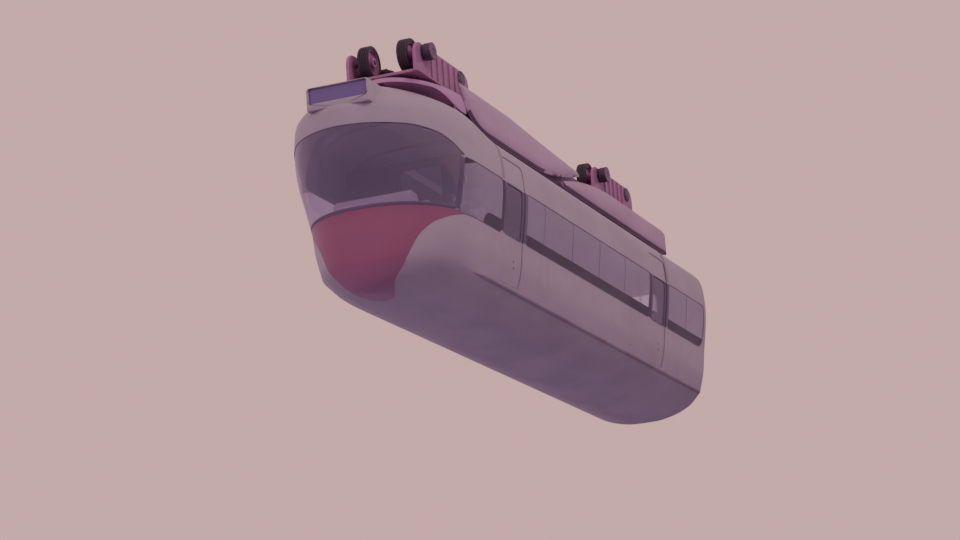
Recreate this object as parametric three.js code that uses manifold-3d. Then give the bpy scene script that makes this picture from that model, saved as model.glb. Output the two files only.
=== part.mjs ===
// Suspended monorail front car: a hollow passenger body hung from two bogies that run inside the rail.
// Units are millimetres. +X is the driving direction, +Y the car's left, +Z up.
// The origin is at the rail's running surface, on the centreline, midway between the two bogies.
import * as THREE from "three";
import { mergeVertices } from "three/addons/utils/BufferGeometryUtils.js";
import Module from "manifold-3d";

const wasm = await Module();
wasm.setup();

// Body: lengths along the car, and how its panels are made
const REAR_X = -6150; // rear end of the body, at the passage to the next car
const POST_X = 5000; // front corner posts, where the windscreen meets the side windows
const DOME_FROM = 3400; // the roof rises from here
const DOME_TO = 4500; // to its full height here
const WALL = 28; // thickness of every body panel
const POCKET_SKIN = 8; // the walls are only this thick where a door leaf runs behind them
const GLASS = 6;
const GLASS_INSET = 2; // the panes sit this far inside the outer skin
const GAP = 0.3; // clearance between panels that touch
const PANE_GAP = 1.3; // clearance between a pane and its opening
const NOSE_STEPS = 8; // facets of each quarter of the rounded front

// Heights. WINDOW_TOP is under the running surface, the others are above the window top.
const WINDOW_TOP = -1560;
const SILL = -760;
const CREASE = -1510; // where the side walls lap over the belly pan
const FLOOR_TOP = -1450;
const FLOOR_THICK = 60;
const CEILING = 520;

// Body sections, bottom to top. Each level is one plan outline: straight sides and a rounded front.
// half: half width, z: height above the window top, rise: how much the dome lifts it,
// start and tip: where the front curve begins and ends ahead of the corner post, p and q: its fullness
const LEVELS = [
  { half: 200, z: -1910, rise: 0, start: -1000, tip: 580, p: 2.4, q: 2.4 },
  { half: 500, z: -1860, rise: 0, start: -1000, tip: 700, p: 2.4, q: 2.4 },
  { half: 840, z: -1720, rise: 0, start: -1000, tip: 800, p: 2.4, q: 2.4 },
  { half: 1060, z: -1510, rise: 0, start: -900, tip: 860, p: 2.4, q: 2.4 },
  { half: 1200, z: -830, rise: 0, start: -700, tip: 800, p: 2.3, q: 2.2 },
  { half: 1300, z: 0, rise: 0, start: -550, tip: 1250, p: 2.2, q: 1.95 },
  { half: 1285, z: 270, rise: 0, start: -550, tip: 1340, p: 2.2, q: 1.95 },
  { half: 1240, z: 470, rise: 80, start: -550, tip: 1370, p: 2.2, q: 1.95 },
  { half: 1100, z: 640, rise: 140, start: -550, tip: 1150, p: 2.1, q: 2.1 },
  { half: 750, z: 760, rise: 200, start: -550, tip: 980, p: 2.1, q: 2.1 },
  { half: 300, z: 800, rise: 220, start: -550, tip: 820, p: 2.0, q: 2.0 },
];

// Side windows: x range, sill height, radius of the lower rear corner. All end at the window top.
const WINDOWS = [
  { name: "front", from: 3560, to: 4930, low: -790, corner: 60 },
  { name: "middle", from: -3060, to: 2580, low: SILL, corner: 60 },
  { name: "rear", from: -6010, to: -4060, low: SILL, corner: 260 },
];
const WINDOW_CORNER = 60;

// Windscreen as seen from the front, right half from its top corner down to the post, as (y, z)
const SCREEN = { low: -720, high: 300, flat: 850, from: POST_X + 20 };
const SCREEN_CORNER = [[1100, 250], [1200, 160], [1270, 20]];

// Red chin as seen from the front, one half from its upper corner down to the keel, as (y, z)
const CHIN_TOP = -760;
const CHIN = [
  [1145, -810], [1045, -880], [885, -1020], [745, -1210], [660, -1380],
  [600, -1510], [520, -1630], [420, -1740], [330, -1840],
];
const CHIN_FROM = POST_X - 60;

// The chin's tail under the keel as seen from below, one half from front to rear, as (x, y)
const CHIN_TAIL = [[5470, 330], [5300, 230], [5110, 130], [5050, 0]];

// Doors: x range of each opening, and the leaf that closes it from inside the wall
const DOORS = [
  { name: "front", from: 2660, to: 3480 },
  { name: "rear", from: -3980, to: -3160 },
];
const DOOR_TOP = 400;
const DOOR_CORNER = 90;
const LEAF = { overlap: 30, thick: 35, gap: 6, low: 10, glassDepth: 10, glassMargin: 90, glassCorner: 50 };
const LEAF_FACE = POCKET_SKIN + LEAF.gap; // depth of the leaf's outer face
const LEAF_DEPTH = LEAF_FACE + LEAF.thick;
const LEAF_TRAVEL = 800;
const POCKET_MARGIN = 20; // the pocket is this much longer and higher than the leaf's run

// End wall: passage, its flanged frame, and the half drawbar below it
const PASSAGE = { half: 400, high: 420, lowRadius: 60, highRadius: 120, frame: 90, depth: 120 };
const BAR = { z: WINDOW_TOP - 1700, pinX: REAR_X - 100, pin: 30, eye: 65, reach: 260, half: 35, plate: 90 };
const LUG = { half: 80, thick: 30, spread: 65, pad: 170, padHigh: 120, pin: 150 };

// Cabin
const PARTITION = { x: 3500, thick: 40, doorHalf: 330, doorHigh: 1850, lightY: 720, lightHalf: 260 };
const SEAT = { depth: 480, high: 430, back: 980, backThick: 110, inner: 330, outer: 1030, plinth: 120 };
// x: back face of the backrest, facing: 1 forwards
const SEAT_ROWS = [
  { x: 1640, facing: -1 },
  { x: 200, facing: 1 },
  { x: -60, facing: -1 },
  { x: -1500, facing: 1 },
];
const REAR_ROWS = [{ x: -5960, facing: 1 }];
const DESK = { from: 4700, to: 5500, top: 5250, half: 800, low: 640, high: 820, rear: 720 };
const DRIVER = { from: 4000, to: 4460, half: 240, low: 330, cushion: 490, high: 1020, post: 80 };
const BELLY_BLOCK = { from: -5600, to: 4600, half: 560, low: -1810, high: -1530 };

// Route sign on the brow over the windscreen
const SIGN = { face: 6330, back: 5450, half: 475, low: 590, high: 930 };
const SIGN_PANEL = { half: 440, low: 690, high: 908, recess: 40, thick: 15 };

// Fairings along the hangers, and the shroud that closes them under the front bogie
const FAIRING = { y: 720, thick: 30, low: 1000, ribLow: 700, ribHigh: 1100, rib: 30 };
const SHROUD = { side: 3350, tip: 4880, low: 1140, high: 1400, wall: 30 };
const SHROUD_RISE = { from: 3500, to: 4300, low: 1330 }; // the lower edge rises towards the front
const STAY = { width: 60, thick: 30, x: 3400, frontX: 4600 };

// Roof spine, its wide deck, and the hangers with their bolsters
const SPINE = { from: -5300, to: 3300, half: 300, low: WINDOW_TOP + 600, top: -450, wall: 40 };
const DECK = { half: 580, high: 1000, tip: 4740 };
const CASING = { from: -1900, to: 100, high: 1420 }; // closes the gap where the fairings meet
const BOLSTER = { top: -175, thick: 50, half: 260, foot: 300 };

// Bogies
const BOGIES = [
  { name: "front", x: 3750 },
  { name: "rear", x: -3750 },
];
const FRAME = { length: 2000, width: 1100, cheek: 50, top: 380, corner: 200, plateLow: -100, plateHigh: -55 };
const WHEEL = { radius: 250, width: 180, y: 310, dx: 700, axle: 30, axlebox: 120 };
const GUIDE = { radius: 130, width: 110, y: 235, dx: 270, z: 170, pin: 20, arm: 120 };
const KINGPIN = { radius: 45, flange: 95, clearance: 5 };
const MOTOR = { radius: 130, length: 130 };
const BEARING_GAP = 4;

// Wheel profiles from bore to rim. Each point is a share of the radius and of the half width.
const DISHED = [[0.42, 1], [0.48, 0.5], [0.7, 0.5], [0.75, 1], [0.94, 1], [1, 0.75]];
const PLAIN = [[0.92, 1], [1, 0.8]];

// Bounds of cutting blocks, beyond the car on every side
const FAR = 9000;
const SIDE = 2000;
const DOWN = -5000;

// Materials
function finish(color, roughness, metalness = 0) {
  return new THREE.MeshStandardMaterial({ color, roughness, metalness });
}
const white = finish(0xb4a8ae, 0.45);
const red = finish(0x9c4a62, 0.4);
const pink = finish(0xc9a4bd, 0.5);
const oxide = finish(0x7d4460, 0.6);
const glass = finish(0x3a3450, 0.1);
const steel = finish(0x55505a, 0.5, 0.7);
const rubber = finish(0x1d1c1f, 0.85);
const trim = finish(0x2a2832, 0.7);
const seatBlue = finish(0x3d4a63, 0.8);
const floorGrey = finish(0x67636b, 0.85);
const signBlue = finish(0x4f3f6a, 0.4);

// Solids
function solid(geometry) {
  const bare = geometry.index ? geometry.toNonIndexed() : geometry.clone();
  bare.deleteAttribute("normal");
  bare.deleteAttribute("uv");
  const merged = mergeVertices(bare, 1e-3);
  return new wasm.Manifold(
    new wasm.Mesh({
      numProp: 3,
      vertProperties: merged.attributes.position.array,
      triVerts: new Uint32Array(merged.index.array),
    }),
  );
}

function geometryOf(made) {
  const mesh = made.getMesh();
  const geometry = new THREE.BufferGeometry();
  geometry.setAttribute("position", new THREE.BufferAttribute(new Float32Array(mesh.vertProperties), 3));
  geometry.setIndex(new THREE.BufferAttribute(new Uint32Array(mesh.triVerts), 1));
  geometry.computeVertexNormals();
  return geometry;
}

function box(x0, x1, y0, y1, z0, z1) {
  const g = new THREE.BoxGeometry(x1 - x0, y1 - y0, z1 - z0);
  g.translate((x0 + x1) / 2, (y0 + y1) / 2, (z0 + z1) / 2);
  return solid(g);
}

// A round bar along an axis, from a centre point
function bar(axis, radius, length, x, y, z, segments = 12) {
  const g = new THREE.CylinderGeometry(radius, radius, length, segments);
  if (axis === "x") g.rotateZ(Math.PI / 2);
  if (axis === "z") g.rotateX(Math.PI / 2);
  g.translate(x, y, z);
  return solid(g);
}

// A shape drawn as seen from the side (x, z), extruded across the car from y0 to y1
function sidePlate(shape, y0, y1, curveSegments = 3) {
  const g = new THREE.ExtrudeGeometry(shape, { depth: y1 - y0, bevelEnabled: false, curveSegments });
  g.rotateX(Math.PI / 2);
  g.translate(0, y1, 0);
  return solid(g);
}

// A shape drawn as seen from the front (y, z), extruded along the car from x0 to x1
function frontPlate(shape, x0, x1, curveSegments = 3) {
  const g = new THREE.ExtrudeGeometry(shape, { depth: x1 - x0, bevelEnabled: false, curveSegments });
  g.rotateX(Math.PI / 2);
  g.rotateZ(Math.PI / 2);
  g.translate(x0, 0, 0);
  return solid(g);
}

// A shape drawn as seen from above (x, y), extruded from z0 to z1
function plan(shape, z0, z1, curveSegments = 10) {
  const g = new THREE.ExtrudeGeometry(shape, { depth: z1 - z0, bevelEnabled: false, curveSegments });
  g.translate(0, 0, z0);
  return solid(g);
}

// A rectangle with rounded corners; radii run lower left, lower right, upper right, upper left
function roundedRect(x0, x1, z0, z1, radii) {
  const [a, b, c, d] = radii;
  const s = new THREE.Shape();
  s.moveTo(x0 + a, z0);
  s.lineTo(x1 - b, z0);
  s.absarc(x1 - b, z0 + b, b, -Math.PI / 2, 0);
  s.lineTo(x1, z1 - c);
  s.absarc(x1 - c, z1 - c, c, 0, Math.PI / 2);
  s.lineTo(x0 + d, z1);
  s.absarc(x0 + d, z1 - d, d, Math.PI / 2, Math.PI);
  s.lineTo(x0, z0 + a);
  s.absarc(x0 + a, z0 + a, a, Math.PI, 1.5 * Math.PI);
  return s;
}

function polygon(points) {
  return new THREE.Shape(points.map(([a, b]) => new THREE.Vector2(a, b)));
}

// A shape and its mirror image across the centreline, drawn from the front as one outline
function mirroredOutline(half) {
  return polygon([...half, ...half.map(([y, z]) => [-y, z]).reverse()]);
}

const bodies = new Map();
function body(name) {
  if (!bodies.has(name)) bodies.set(name, new THREE.Group());
  return bodies.get(name);
}

function add(owner, name, made, material) {
  const mesh = new THREE.Mesh(geometryOf(made), material);
  mesh.name = name;
  body(owner).add(mesh);
}

const SIDES = [
  { name: "left", sign: 1 },
  { name: "right", sign: -1 },
];

// The two ends of a range across the car, in rising order, on one side
function across(side, inner, outer) {
  return side.sign > 0 ? [inner, outer] : [-outer, -inner];
}

// Body envelope: the outer skin moved inwards by a depth, as one closed solid
function smooth(t) {
  const c = Math.min(1, Math.max(0, t));
  return c * c * (3 - 2 * c);
}

function offsetLevels(depth) {
  return LEVELS.map((level, i) => {
    const below = LEVELS[Math.max(0, i - 1)];
    const above = LEVELS[Math.min(LEVELS.length - 1, i + 1)];
    let ny = above.z - below.z;
    let nz = below.half - above.half;
    if (i === 0) [ny, nz] = [0, -1];
    if (i === LEVELS.length - 1) [ny, nz] = [0, 1];
    const length = Math.hypot(ny, nz);
    return {
      ...level,
      half: level.half - (depth * ny) / length,
      z: level.z - (depth * nz) / length,
      tip: level.tip - depth,
    };
  });
}

function levelRing(level, rear) {
  const height = (x) => WINDOW_TOP + level.z + level.rise * smooth((x - DOME_FROM) / (DOME_TO - DOME_FROM));
  const straight = [rear, DOME_FROM, (DOME_FROM + DOME_TO) / 2, POST_X - 1000];
  const side = straight.map((x) => [x, level.half]);
  for (let i = 0; i <= NOSE_STEPS; i += 1) {
    const angle = (Math.PI / 2) * (i / NOSE_STEPS);
    const u = Math.sin(angle) ** (2 / level.p);
    const w = i === NOSE_STEPS ? 0 : Math.cos(angle) ** (2 / level.q);
    side.push([POST_X + level.start + (level.tip - level.start) * u, level.half * w]);
  }
  const left = side.map(([x, y]) => [x, y, height(x)]);
  const right = side.slice(0, -1).reverse().map(([x, y]) => [x, -y, height(x)]);
  return [...left, ...right];
}

function envelope(depth, rear = REAR_X) {
  const rings = offsetLevels(depth).map((level) => levelRing(level, rear));
  const count = rings[0].length;
  const faces = [];
  for (let r = 0; r < rings.length - 1; r += 1) {
    for (let i = 0; i < count; i += 1) {
      const j = (i + 1) % count;
      const a = r * count + i;
      const b = r * count + j;
      faces.push(a, a + count, b, b, a + count, b + count);
    }
  }
  // The bottom and top caps run across the car between the two sides
  const tip = (count - 1) / 2;
  const top = (rings.length - 1) * count;
  for (let i = 0; i < tip; i += 1) {
    const mate = count - 1 - i;
    faces.push(i, i + 1, mate);
    faces.push(top + i, top + mate, top + i + 1);
    if (mate - 1 > i + 1) {
      faces.push(i + 1, mate - 1, mate);
      faces.push(top + i + 1, top + mate, top + mate - 1);
    }
  }
  const g = new THREE.BufferGeometry();
  g.setAttribute("position", new THREE.BufferAttribute(new Float32Array(rings.flat(2)), 3));
  g.setIndex(faces);
  return solid(g);
}

const outer = envelope(0);
const inner = envelope(WALL, REAR_X - 100);
const clear = envelope(-GAP); // the outer skin with the panel gap around it

// The x range of a door's leaf when it is shut
function leafRange(door) {
  return [door.from - LEAF.overlap, Math.min(door.to + LEAF.overlap, PARTITION.x - 10)];
}

// Pockets for the leaves, thinned out of the walls from inside
const pocketInner = envelope(POCKET_SKIN, REAR_X - 100);
let shell = outer.subtract(inner);
for (const door of DOORS) {
  const [x0, x1] = leafRange(door);
  const high = WINDOW_TOP + DOOR_TOP + LEAF.overlap + POCKET_MARGIN;
  const lengths = [x0 - LEAF_TRAVEL - POCKET_MARGIN, x1 + POCKET_MARGIN];
  const run = box(...lengths, -SIDE, SIDE, WINDOW_TOP + FLOOR_TOP, high);
  shell = shell.subtract(pocketInner.intersect(run));
}

// Cutters for the openings in the shell
function screenCutter(margin) {
  const half = [
    [SIDE, WINDOW_TOP + SCREEN.low + margin],
    [SIDE, WINDOW_TOP - 20 - margin],
    ...SCREEN_CORNER.map(([y, z]) => [y - margin, WINDOW_TOP + z - margin]).reverse(),
    [SCREEN.flat, WINDOW_TOP + SCREEN.high - margin],
  ];
  return frontPlate(mirroredOutline(half), SCREEN.from + margin, FAR);
}

function windowCutter(win, side, margin) {
  const corner = win.corner - margin;
  const plain = WINDOW_CORNER - margin;
  const shape = roundedRect(
    win.from + margin,
    win.to - margin,
    WINDOW_TOP + win.low + margin,
    WINDOW_TOP - margin,
    [corner, plain, plain, plain],
  );
  return sidePlate(shape, ...across(side, 0, SIDE));
}

function doorCutter(door, side) {
  const low = WINDOW_TOP + FLOOR_TOP + 5;
  const shape = roundedRect(door.from, door.to, low, WINDOW_TOP + DOOR_TOP, [8, 8, DOOR_CORNER, DOOR_CORNER]);
  return sidePlate(shape, ...across(side, 0, SIDE));
}

// The red chin: full width under the windscreen, narrowing to a tail under the keel
function chinCutter(margin) {
  const face = [
    [SIDE, WINDOW_TOP + CHIN_TOP + margin],
    ...CHIN.map(([y, z]) => [y + margin, WINDOW_TOP + z]),
  ];
  const tail = [[FAR, CHIN_TAIL[0][1]], ...CHIN_TAIL].map(([x, y]) => [x - margin, y + margin]);
  const otherSide = tail.map(([x, y]) => [x, -y]).reverse();
  const tailTop = WINDOW_TOP + CHIN.at(-1)[1];
  const below = plan(polygon([...tail, ...otherSide]), DOWN, tailTop);
  return frontPlate(mirroredOutline(face), CHIN_FROM - margin, FAR).add(below);
}

// White body panels and the red chin
function withoutDoors(made) {
  let cut = made;
  for (const side of SIDES) {
    for (const door of DOORS) cut = cut.subtract(doorCutter(door, side));
  }
  return cut;
}

function between(made, low, high) {
  return made.intersect(box(REAR_X, FAR, -SIDE, SIDE, low, high));
}
const CABIN_REAR = REAR_X + WALL + GAP;
const panels = shell.subtract(box(REAR_X - 200, CABIN_REAR, -SIDE, SIDE, DOWN, 0));
const roof = withoutDoors(between(panels, WINDOW_TOP + GAP / 2, 0));
add("car", "roof_shell", roof.subtract(screenCutter(0)), white);
const belly = between(panels, DOWN, WINDOW_TOP + CREASE - GAP);
add("car", "belly_pan", belly.subtract(chinCutter(GAP)), white);
const walls = withoutDoors(between(panels, WINDOW_TOP + CREASE, WINDOW_TOP - GAP / 2));
for (const side of SIDES) {
  let wall = walls.intersect(box(REAR_X, FAR, ...across(side, GAP / 2, SIDE), DOWN, 0));
  for (const win of WINDOWS) wall = wall.subtract(windowCutter(win, side, 0));
  wall = wall.subtract(screenCutter(0)).subtract(chinCutter(GAP));
  add("car", `side_wall_${side.name}`, wall, white);
}
add("car", "nose_panel", panels.intersect(chinCutter(0)), red);

// Glass
const pane = envelope(GLASS_INSET).subtract(envelope(GLASS_INSET + GLASS));
add("car", "windscreen", pane.intersect(screenCutter(PANE_GAP)), glass);
for (const side of SIDES) {
  for (const win of WINDOWS) {
    add("car", `window_${win.name}_${side.name}`, pane.intersect(windowCutter(win, side, PANE_GAP)), glass);
  }
}

// End wall with the passage to the next car, the lugs of the drawbar and the flanged passage frame
function passageShape(grow) {
  const radii = [PASSAGE.lowRadius, PASSAGE.lowRadius, PASSAGE.highRadius, PASSAGE.highRadius];
  return roundedRect(
    -PASSAGE.half - grow,
    PASSAGE.half + grow,
    WINDOW_TOP + FLOOR_TOP - grow,
    WINDOW_TOP + PASSAGE.high + grow,
    radii.map((r) => r + grow),
  );
}
const passage = frontPlate(passageShape(0), REAR_X - 500, REAR_X + 500);
let endWall = outer.intersect(box(REAR_X - 10, REAR_X + WALL, -SIDE, SIDE, DOWN, 0)).subtract(passage);
const padLow = BAR.z - LUG.padHigh;
endWall = endWall.add(box(REAR_X - 25, REAR_X + 10, -LUG.pad, LUG.pad, padLow, padLow + 2 * LUG.padHigh));
for (const lift of [-LUG.spread, LUG.spread]) {
  const low = BAR.z + lift - LUG.thick / 2;
  endWall = endWall.add(box(BAR.pinX - 50, REAR_X, -LUG.half, LUG.half, low, low + LUG.thick));
}
endWall = endWall.add(bar("z", BAR.pin, LUG.pin, BAR.pinX, 0, BAR.z, 20));
add("car", "end_wall", endWall, white);
const passageFrame = frontPlate(passageShape(PASSAGE.frame), REAR_X - PASSAGE.depth, REAR_X - GAP);
add("car", "passage_frame", passageFrame.subtract(passage), rubber);

// Half of the drawbar to the next car: an eye on the pin, a flat bar and a bolting face
const barEnd = BAR.pinX - BAR.reach;
let drawbar = bar("z", BAR.eye, 80, BAR.pinX, 0, BAR.z, 24);
drawbar = drawbar.add(box(barEnd, BAR.pinX, -BAR.half, BAR.half, BAR.z - 30, BAR.z + 30));
drawbar = drawbar.add(box(barEnd - 25, barEnd, -BAR.plate, BAR.plate, BAR.z - BAR.plate, BAR.z + BAR.plate));
drawbar = drawbar.subtract(bar("z", BAR.pin + 3, 200, BAR.pinX, 0, BAR.z, 20));
add("drawbar", "drawbar", drawbar, steel);

// Floor, and the partition between cab and saloon with its doorway and two lights
const lining = envelope(WALL + GAP, REAR_X - 100);
const floorTop = WINDOW_TOP + FLOOR_TOP;
const floorBox = box(CABIN_REAR, FAR, -SIDE, SIDE, floorTop - FLOOR_THICK, floorTop);
add("car", "floor_deck", lining.intersect(floorBox), floorGrey);

function throughPartition(y0, y1, z0, z1, radius) {
  const shape = roundedRect(y0, y1, z0, z1, [radius, radius, radius, radius]);
  return frontPlate(shape, PARTITION.x - 100, PARTITION.x + 200);
}
const ceilingZ = WINDOW_TOP + CEILING;
const partitionEnd = PARTITION.x + PARTITION.thick;
let partition = box(PARTITION.x, partitionEnd, -SIDE, SIDE, floorTop + GAP, ceilingZ - GAP);
partition = partition.intersect(envelope(LEAF_DEPTH + LEAF.gap));
const { doorHalf, doorHigh, lightY, lightHalf } = PARTITION;
const doorway = throughPartition(-doorHalf, doorHalf, floorTop - 100, floorTop + doorHigh, 40);
partition = partition.subtract(doorway);
for (const side of SIDES) {
  const [y0, y1] = across(side, lightY - lightHalf, lightY + lightHalf);
  partition = partition.subtract(throughPartition(y0, y1, WINDOW_TOP + SILL, WINDOW_TOP - 40, 40));
}
add("car", "cab_partition", partition, trim);

// Seats stand on one low plinth on each side of the aisle
function seatOutline(row) {
  const f = row.facing;
  const front = row.x + f * SEAT.depth;
  const low = floorTop + SEAT.plinth - 20;
  return polygon([
    [row.x, low],
    [front - f * 40, low],
    [front, floorTop + SEAT.high - 90],
    [front, floorTop + SEAT.high],
    [row.x + f * SEAT.backThick, floorTop + SEAT.high - 30],
    [row.x + f * 60, floorTop + SEAT.back],
    [row.x, floorTop + SEAT.back],
  ]);
}

function seatBlock(rows, side) {
  const [y0, y1] = across(side, SEAT.inner, SEAT.outer);
  const reach = rows.flatMap((row) => [row.x, row.x + row.facing * SEAT.depth]);
  const ends = [Math.min(...reach) + 40, Math.max(...reach) - 40];
  let block = box(...ends, y0 + 80, y1 - 80, floorTop + GAP, floorTop + SEAT.plinth);
  for (const row of rows) block = block.add(sidePlate(seatOutline(row), y0, y1));
  return block;
}
for (const side of SIDES) {
  add("car", `seats_middle_${side.name}`, seatBlock(SEAT_ROWS, side), seatBlue);
  add("car", `seat_rear_${side.name}`, seatBlock(REAR_ROWS, side), seatBlue);
}

// Driver's desk and seat
const deskOutline = polygon([
  [DESK.from, floorTop + GAP],
  [DESK.to, floorTop + GAP],
  [DESK.to, floorTop + DESK.low],
  [DESK.top, floorTop + DESK.high],
  [DESK.from, floorTop + DESK.rear],
]);
add("car", "driver_desk", sidePlate(deskOutline, -DESK.half, DESK.half).intersect(envelope(WALL + 15)), trim);
const driverOutline = polygon([
  [DRIVER.from, floorTop + DRIVER.low],
  [DRIVER.from + 10, floorTop + DRIVER.high],
  [DRIVER.from + 90, floorTop + DRIVER.high],
  [DRIVER.from + 130, floorTop + DRIVER.cushion - 10],
  [DRIVER.to - 20, floorTop + DRIVER.cushion],
  [DRIVER.to, floorTop + DRIVER.cushion - 90],
]);
const postX = (DRIVER.from + DRIVER.to) / 2;
const seatPost = box(postX - 60, postX + 60, -DRIVER.post, DRIVER.post, floorTop + GAP, floorTop + 400);
add("car", "driver_seat", sidePlate(driverOutline, -DRIVER.half, DRIVER.half).add(seatPost), seatBlue);

// One plain block for the equipment closed inside the belly
const blockTop = Math.min(WINDOW_TOP + BELLY_BLOCK.high, floorTop - FLOOR_THICK - GAP);
const blockLow = WINDOW_TOP + BELLY_BLOCK.low;
const blockHalf = BELLY_BLOCK.half;
const block = box(BELLY_BLOCK.from, BELLY_BLOCK.to, -blockHalf, blockHalf, blockLow, blockTop);
add("car", "underfloor_block", block.intersect(envelope(WALL + 25)), steel);

// Route sign: a box with a recess, and the blank panel at the recess's back
const signHeights = [WINDOW_TOP + SIGN.low, WINDOW_TOP + SIGN.high];
const signShape = roundedRect(-SIGN.half, SIGN.half, ...signHeights, [20, 20, 50, 50]);
function signMouth(shrink, x0, x1) {
  const half = SIGN_PANEL.half - shrink;
  const low = WINDOW_TOP + SIGN_PANEL.low + shrink;
  const high = WINDOW_TOP + SIGN_PANEL.high - shrink;
  return frontPlate(roundedRect(-half, half, low, high, [15, 15, 35, 35]), x0, x1);
}
const signBack = SIGN.face - SIGN_PANEL.recess;
const signBox = frontPlate(signShape, SIGN.back, SIGN.face).subtract(clear);
add("car", "sign_housing", signBox.subtract(signMouth(0, signBack, FAR)), white);
add("car", "sign_panel", signMouth(2, signBack + GAP, signBack + GAP + SIGN_PANEL.thick), signBlue);

// Fairings drawn from the side: the front one is a lens, the rear one ends square
const frontFairing = new THREE.Shape();
frontFairing.moveTo(3620, WINDOW_TOP + 1570);
frontFairing.quadraticCurveTo(3340, WINDOW_TOP + 1030, 2640, WINDOW_TOP + FAIRING.low);
frontFairing.lineTo(600, WINDOW_TOP + FAIRING.low);
frontFairing.quadraticCurveTo(-250, WINDOW_TOP + 1030, -1480, WINDOW_TOP + 1370);
frontFairing.quadraticCurveTo(-1560, WINDOW_TOP + 1410, -1400, WINDOW_TOP + 1440);
frontFairing.quadraticCurveTo(400, WINDOW_TOP + 1500, 1600, WINDOW_TOP + 1570);
const rearFairing = new THREE.Shape();
rearFairing.moveTo(-560, WINDOW_TOP + 1070);
rearFairing.lineTo(-700, WINDOW_TOP + FAIRING.low);
rearFairing.lineTo(-5900, WINDOW_TOP + FAIRING.low);
rearFairing.lineTo(-5900, WINDOW_TOP + 1350);
rearFairing.quadraticCurveTo(-5880, WINDOW_TOP + 1430, -5700, WINDOW_TOP + 1430);
rearFairing.lineTo(-3000, WINDOW_TOP + 1430);
rearFairing.quadraticCurveTo(-1700, WINDOW_TOP + 1400, -560, WINDOW_TOP + 1070);
const FAIRINGS = [
  { name: "front", shape: frontFairing, ribs: [2500, 900] },
  { name: "rear", shape: rearFairing, ribs: [-1200, -3400, -5500] },
];
for (const fairing of FAIRINGS) {
  for (const side of SIDES) {
    let skin = sidePlate(fairing.shape, ...across(side, FAIRING.y, FAIRING.y + FAIRING.thick), 5);
    const ribReach = across(side, DECK.half + GAP, FAIRING.y + 5);
    for (const x of fairing.ribs) {
      const heights = [WINDOW_TOP + FAIRING.ribLow, WINDOW_TOP + FAIRING.ribHigh];
      skin = skin.add(box(x, x + FAIRING.rib, ...ribReach, ...heights));
    }
    add("car", `fairing_${fairing.name}_${side.name}`, skin.subtract(clear), pink);
  }
}

// A block that is square behind and rounded in front as seen from above
function tongue(half, from, tip, low, high) {
  const s = new THREE.Shape();
  s.moveTo(from, -half);
  s.lineTo(SHROUD.side + 100, -half);
  s.absellipse(SHROUD.side + 100, 0, tip - SHROUD.side - 100, half, -Math.PI / 2, Math.PI / 2);
  s.lineTo(from, half);
  return plan(s, WINDOW_TOP + low, WINDOW_TOP + high);
}

// Dark red shroud: a band round the front bogie's hanger, on three stays that stand on the deck
const shroudHalf = FAIRING.y - GAP;
const shroudTop = WINDOW_TOP + SHROUD.high;
const shroudInside = tongue(
  shroudHalf - SHROUD.wall, SHROUD.side - 200, SHROUD.tip - SHROUD.wall, 0, SHROUD.high + 100,
);
const underShroud = polygon([
  [SHROUD_RISE.from, DOWN],
  [SHROUD_RISE.from, WINDOW_TOP + SHROUD.low],
  [SHROUD_RISE.to, WINDOW_TOP + SHROUD_RISE.low],
  [FAR, WINDOW_TOP + SHROUD_RISE.low],
  [FAR, DOWN],
]);
let shroud = tongue(shroudHalf, SHROUD.side, SHROUD.tip, SHROUD.low, SHROUD.high);
shroud = shroud.subtract(shroudInside).subtract(sidePlate(underShroud, -SIDE, SIDE));
const stayLow = WINDOW_TOP + SHROUD.low;
for (const side of SIDES) {
  const reach = across(side, DECK.half - STAY.width, shroudHalf - 5);
  shroud = shroud.add(box(STAY.x, STAY.x + STAY.width, ...reach, stayLow, stayLow + STAY.thick));
}
const stayHalf = STAY.width / 2;
const stayTop = shroudTop - STAY.thick;
const postEnd = STAY.frontX + STAY.width;
shroud = shroud.add(box(STAY.frontX, postEnd, -stayHalf, stayHalf, stayLow, stayTop));
shroud = shroud.add(box(STAY.frontX, SHROUD.tip - 15, -stayHalf, stayHalf, stayTop - STAY.thick, stayTop));
add("car", "fairing_nose", shroud.subtract(clear), oxide);

// Roof spine with its deck and a hanger under each bogie, all one weldment
let spine = box(SPINE.from, SPINE.to, -SPINE.half, SPINE.half, SPINE.low, SPINE.top);
const deckTop = WINDOW_TOP + DECK.high - GAP;
spine = spine.add(box(SPINE.from, SHROUD.side, -DECK.half, DECK.half, SPINE.low, deckTop));
spine = spine.add(tongue(DECK.half, SHROUD.side - 60, DECK.tip, SPINE.low - WINDOW_TOP, SHROUD.low - GAP));
const casingTop = WINDOW_TOP + CASING.high;
spine = spine.add(box(CASING.from, CASING.to, -DECK.half, DECK.half, SPINE.low, casingTop));
for (const bogie of BOGIES) {
  const x0 = bogie.x - BOLSTER.half;
  const x1 = bogie.x + BOLSTER.half;
  for (const side of SIDES) {
    const [y0, y1] = across(side, SPINE.half - SPINE.wall, SPINE.half);
    spine = spine.add(box(x0, x1, y0, y1, SPINE.low, BOLSTER.top));
  }
  spine = spine.add(box(x0, x1, -SPINE.half, SPINE.half, BOLSTER.top - BOLSTER.thick, BOLSTER.top));
  spine = spine.add(box(x0 - BOLSTER.foot, x1, -SPINE.half, SPINE.half, SPINE.low, SPINE.top));
  spine = spine.subtract(bar("z", KINGPIN.radius + KINGPIN.clearance, 300, bogie.x, 0, BOLSTER.top, 16));
}
add("car", "roof_spine", spine.subtract(clear), steel);

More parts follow.
